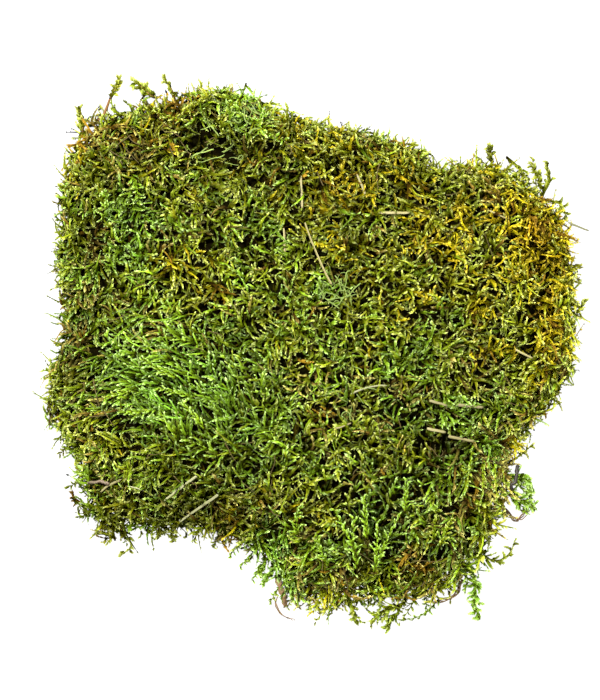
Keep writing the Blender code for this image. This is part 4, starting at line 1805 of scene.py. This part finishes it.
ROUND = Section(6)
BLADE = Section(8, 0.30, 0.15)
LITTER = (
    Fibre("straw_long", STRAW, "dry_straw", 1.1, light=0.8),
    Fibre("straw_upper", STRAW, "dry_straw", 1.2),
    Fibre("straw_pale_short", STRAW, "dry_straw", 1.3, light=1.1),
    Fibre("grass_blade_north", STRAW, "dry_straw", 1.3, BLADE),
    Fibre("grass_blade_amber", STRAW, "dry_straw", 1.6, BLADE, light=0.8),
    Fibre("straw_east_pale", STRAW, "dry_straw", 1.0, light=1.1),
    Fibre("straw_east_rim", STRAW, "dry_straw", 1.2),
    Fibre("straw_southeast_a", STRAW, "dry_straw", 1.5, BLADE, light=0.7),
    Fibre("straw_southeast_b", STRAW, "dry_straw", 1.7, BLADE, light=0.7),
    Fibre("straw_southeast_c", STRAW, "dry_straw", 1.7, BLADE, light=0.7),
    Fibre("straw_southeast_d", STRAW, "dry_straw", 2.0, BLADE, light=0.8),
    Fibre("straw_middle_grey", NEEDLE, "grey_needle", 1.0, ROUND),
    Fibre("straw_middle_low", STRAW, "dry_straw", 1.2, light=0.8),
    Fibre("straw_southwest_a", NEEDLE, "grey_needle", 1.5, BLADE),
    Fibre("straw_southwest_b", NEEDLE, "grey_needle", 1.4, BLADE),
    Fibre("straw_southwest_c", STRAW, "dry_straw", 1.4, BLADE, light=0.8),
    Fibre("needle_southwest", NEEDLE, "grey_needle", 1.0, ROUND),
    Fibre("twig_southwest", TWIG, "dark_twig", 2.0, ROUND, wander=0.4, ragged=0.15),
    Fibre("needle_east", NEEDLE, "grey_needle", 1.1, ROUND, sunk=0.0),
    Fibre("twig_southeast", TWIG, "dark_twig", 2.2, ROUND, wander=0.4, ragged=0.15, light=0.15, sunk=0.0),
    Fibre("root_strands", BARK, "dead_stem", 0.8, ROUND, 5, wander=0.9, taper=0.5, sunk=0.0),
    Fibre("root_tail", BARK, "dead_stem", 0.7, ROUND, 2, wander=0.6, taper=0.6, sunk=0.0),
    Fibre("stem_south_loop", BARK, "dead_stem", 0.9, ROUND, 3, wander=0.7, taper=0.4, light=0.8, sunk=0.0),
    Fibre("stem_south_curl", BARK, "dead_stem", 1.2, ROUND, 3, wander=0.8, taper=0.5, light=0.8, sunk=0.0),
    Fibre("bark_strip", BARK, "bark", 3.4, Section(12, 0.20, 0.35), wander=0.5, ragged=0.16, sunk=0.0),
)


@dataclass
class LooseStrands:
    """The sprigs round the rim and the litter on the pad, one piece for each of the frame's thin nodes."""

    grower: Grower
    sprigs: tuple[Sprig, ...] = SPRIGS
    litter: tuple[Fibre, ...] = LITTER

    def build(self) -> None:
        """Adds every sprig, then every piece of litter."""
        leafy = {kind: kind.value.material() for kind in {sprig.kind for sprig in self.sprigs}}
        dry = {fibre.finish.name: fibre.finish.material() for fibre in self.litter}
        points, faces, numbers = joined([sprig.stem(np.random.default_rng(300)) for sprig in self.sprigs])
        keep_above_table(points)
        add_piece("sprig_stems", points, faces, STALK.material(), "dead_stem", numbers, smooth=True)
        for number, sprig in enumerate(self.sprigs):
            points, faces, numbers = sprig.leaves(self.grower, np.random.default_rng(100 + number))
            keep_above_table(points)
            add_piece(sprig.node + "_leafy", points, faces, leafy[sprig.kind], sprig.slot, numbers,
                      stands_for=(sprig.node,))
        for number, fibre in enumerate(self.litter):
            points, faces, numbers = fibre.surface(np.random.default_rng(200 + number))
            keep_above_table(points)
            add_piece(fibre.node + "_fibres", points, faces, dry[fibre.finish.name], fibre.slot, numbers,
                      smooth=True, stands_for=(fibre.node,))


@dataclass(frozen=True)
class Tangle:
    """A few thin curly strands lying loose on the growth; the place and the lengths are in millimetres."""

    x: float
    y: float
    radius: float
    count: int
    length: float
    width: float
    curl: float
    lift: float = 1.5
    light: float = 1.0

    def surface(self, pad: PadForm, rng: np.random.Generator) -> Surface:
        """Tubes whose heading turns by curl (s + 0.3 sin(2 pi s + phase)), and which rise and dip.

        Args:
            pad: the pad that they lie on.
            rng: the source of chance.

        Returns:
            Points, triangles, and the attributes grain and light.
        """
        share = np.linspace(0.0, 1.0, 12)
        spread = np.sqrt(rng.random(self.count)) * self.radius * MM
        foot = compass(rng.random(self.count) * 2 * np.pi) * spread[:, None]
        phase = rng.random((self.count, 1)) * 2 * np.pi
        turn = self.curl * rng.normal(0.0, 1.0, (self.count, 1))
        start = rng.random((self.count, 1)) * 2 * np.pi
        azimuth = start + turn * (share + 0.3 * np.sin(2 * np.pi * share + phase))
        size = self.length * MM * rng.lognormal(0.0, 0.3, (self.count, 1, 1))
        middle = np.cumsum(compass(azimuth) * size / len(share), 1)
        middle += (foot + np.array([self.x, self.y, 0.0]) * MM - middle.mean(1))[:, None]
        height = pad.height(middle.reshape(-1, 3)).reshape(self.count, -1)
        wave = 0.5 + 0.9 * np.sin(np.pi * share * rng.uniform(0.8, 2.0, (self.count, 1)) + phase)
        middle[..., 2] = height + self.lift * MM * wave
        middle = middle[height.min(1) > 8 * MM]
        width = self.width * MM * (1.0 - 0.5 * share) * rng.lognormal(0.0, 0.2, (len(middle), 1))
        light = self.light * rng.lognormal(0.0, 0.2, len(middle))
        return Section(4).tubes(middle, width, np.tile(UP, (len(middle), 1)), rng.random(4), light)


TANGLES = {
    "pale_tangle": (PALE_WIRE, "grey_needle", (
        Tangle(9, 30, 8, 15, 12, 0.75, 2.6, 0.5, 0.95),
        Tangle(-48, 100, 12, 9, 13, 0.7, 2.0, 0.5, 0.75),
        Tangle(-32, 117, 11, 9, 12, 0.8, 2.2, 1.0, 1.2),
        Tangle(18, -20, 16, 8, 10, 0.6, 1.2, 0.0, 0.7),
        Tangle(-86, 10, 12, 5, 11, 0.7, 1.5, 0.0, 0.8),
    )),
    "wiry_stems": (WIRE, "dead_stem", (
        Tangle(-62, 108, 12, 6, 13, 0.55, 1.3, 0.3),
        Tangle(-96, 104, 10, 5, 11, 0.6, 1.0, 0.2),
        Tangle(58, -108, 14, 6, 11, 0.6, 1.3, 0.0),
        Tangle(14, -112, 14, 5, 11, 0.6, 1.3, 0.0),
        Tangle(84, -62, 16, 6, 13, 0.6, 1.2, 0.2),
        Tangle(-108, -30, 16, 5, 11, 0.6, 1.2, 0.2),
        Tangle(0, 0, 105, 40, 10, 0.55, 1.0, -0.2),
    )),
}


@dataclass
class Stragglers:
    """Thin curly strands, dead and pale, that lie over the living layer."""

    pad: PadForm

    def build(self) -> None:
        """Adds one piece for each finish."""
        rng = np.random.default_rng(61)
        for name, (finish, slot, tangles) in TANGLES.items():
            points, faces, numbers = joined([tangle.surface(self.pad, rng) for tangle in tangles])
            add_piece(name, points, faces, finish.material(), slot, numbers, smooth=True)


# ---------------------------------------------------------------- the studio


@dataclass(frozen=True)
class Studio:
    """White table, soft light from the upper left and a camera straight above."""

    table_half: float = 2.0
    lens: float = 100.0
    film: float = 36.0
    view_height: float = 350.0 * MM
    view_level: float = 22.0 * MM
    aim_x: float = -7.5 * MM
    key_power: float = 68.0
    fill: float = 0.06

    def build(self) -> None:
        """Adds the table, the lamps, the world and the camera."""
        self.add_table()
        self.add_lamp("key_light", (-0.40, 0.50, 1.05), 0.20, self.key_power)
        self.add_lamp("soft_light", (0.60, -0.35, 1.00), 0.90, self.key_power * 0.34)
        self.add_world()
        self.add_camera()

    def add_table(self) -> None:
        """A table 4 m wide, just under the pad."""
        half = self.table_half
        corners = [(-half, -half, 0), (half, -half, 0), (half, half, 0), (-half, half, 0)]
        mesh = bpy.data.meshes.new("table")
        mesh.from_pydata(corners, [], [(0, 1, 2, 3)])
        mesh.materials.append(FloorFinish().material())
        table = bpy.data.objects.new("table", mesh)
        bpy.context.scene.collection.objects.link(table)

    def add_lamp(self, name: str, place: tuple[float, float, float], size: float, power: float) -> None:
        """A square soft box at that place, aimed at the middle of the pad.

        Args:
            name: the lamp's name.
            place: where it hangs, in metres.
            size: its side, in metres.
            power: its power, in watts.
        """
        lamp = bpy.data.lights.new(name, "AREA")
        lamp.size = size
        lamp.energy = power
        holder = bpy.data.objects.new(name, lamp)
        holder.location = place
        holder.rotation_euler = (-Vector(place)).to_track_quat("-Z", "Y").to_euler()
        bpy.context.scene.collection.objects.link(holder)

    def add_world(self) -> None:
        """An even white surround, which looks white and lights the pad only a little."""
        world = bpy.data.worlds.new("white_room")
        world.use_nodes = True
        tree = world.node_tree
        background = tree.nodes["Background"]
        background.inputs["Color"].default_value = (1.0, 1.0, 1.0, 1.0)
        seen = tree.nodes.new("ShaderNodeMapRange")
        seen.inputs["To Min"].default_value = self.fill
        tree.links.new(tree.nodes.new("ShaderNodeLightPath").outputs["Is Camera Ray"], seen.inputs["Value"])
        tree.links.new(seen.outputs["Result"], background.inputs["Strength"])
        bpy.context.scene.world = world

    def add_camera(self) -> None:
        """A long lens straight above, far enough to see the whole view height at the pad's top."""
        eye = bpy.data.cameras.new("camera")
        eye.lens = self.lens
        eye.sensor_width = self.film
        away = self.view_height * self.lens / self.film
        camera = bpy.data.objects.new("camera", eye)
        camera.location = (self.aim_x, 0.0, self.view_level + away)
        bpy.context.scene.collection.objects.link(camera)
        bpy.context.scene.camera = camera
        bpy.context.scene.view_settings.view_transform = "Standard"


# ---------------------------------------------------------------- the build


def main() -> None:
    """Builds the moss clump from the inside out, then the studio round it."""
    logging.basicConfig(level=logging.INFO, format="%(name)s: %(message)s")
    pad = PadForm()
    growth = Growth()
    Bed(pad, growth).build()
    Undergrowth(pad, growth).build()
    grower = Grower(growth)
    Canopy(pad, growth, grower).build()
    LooseStrands(grower).build()
    Stragglers(pad).build()
    Studio().build()


if __name__ == "__main__":
    main()
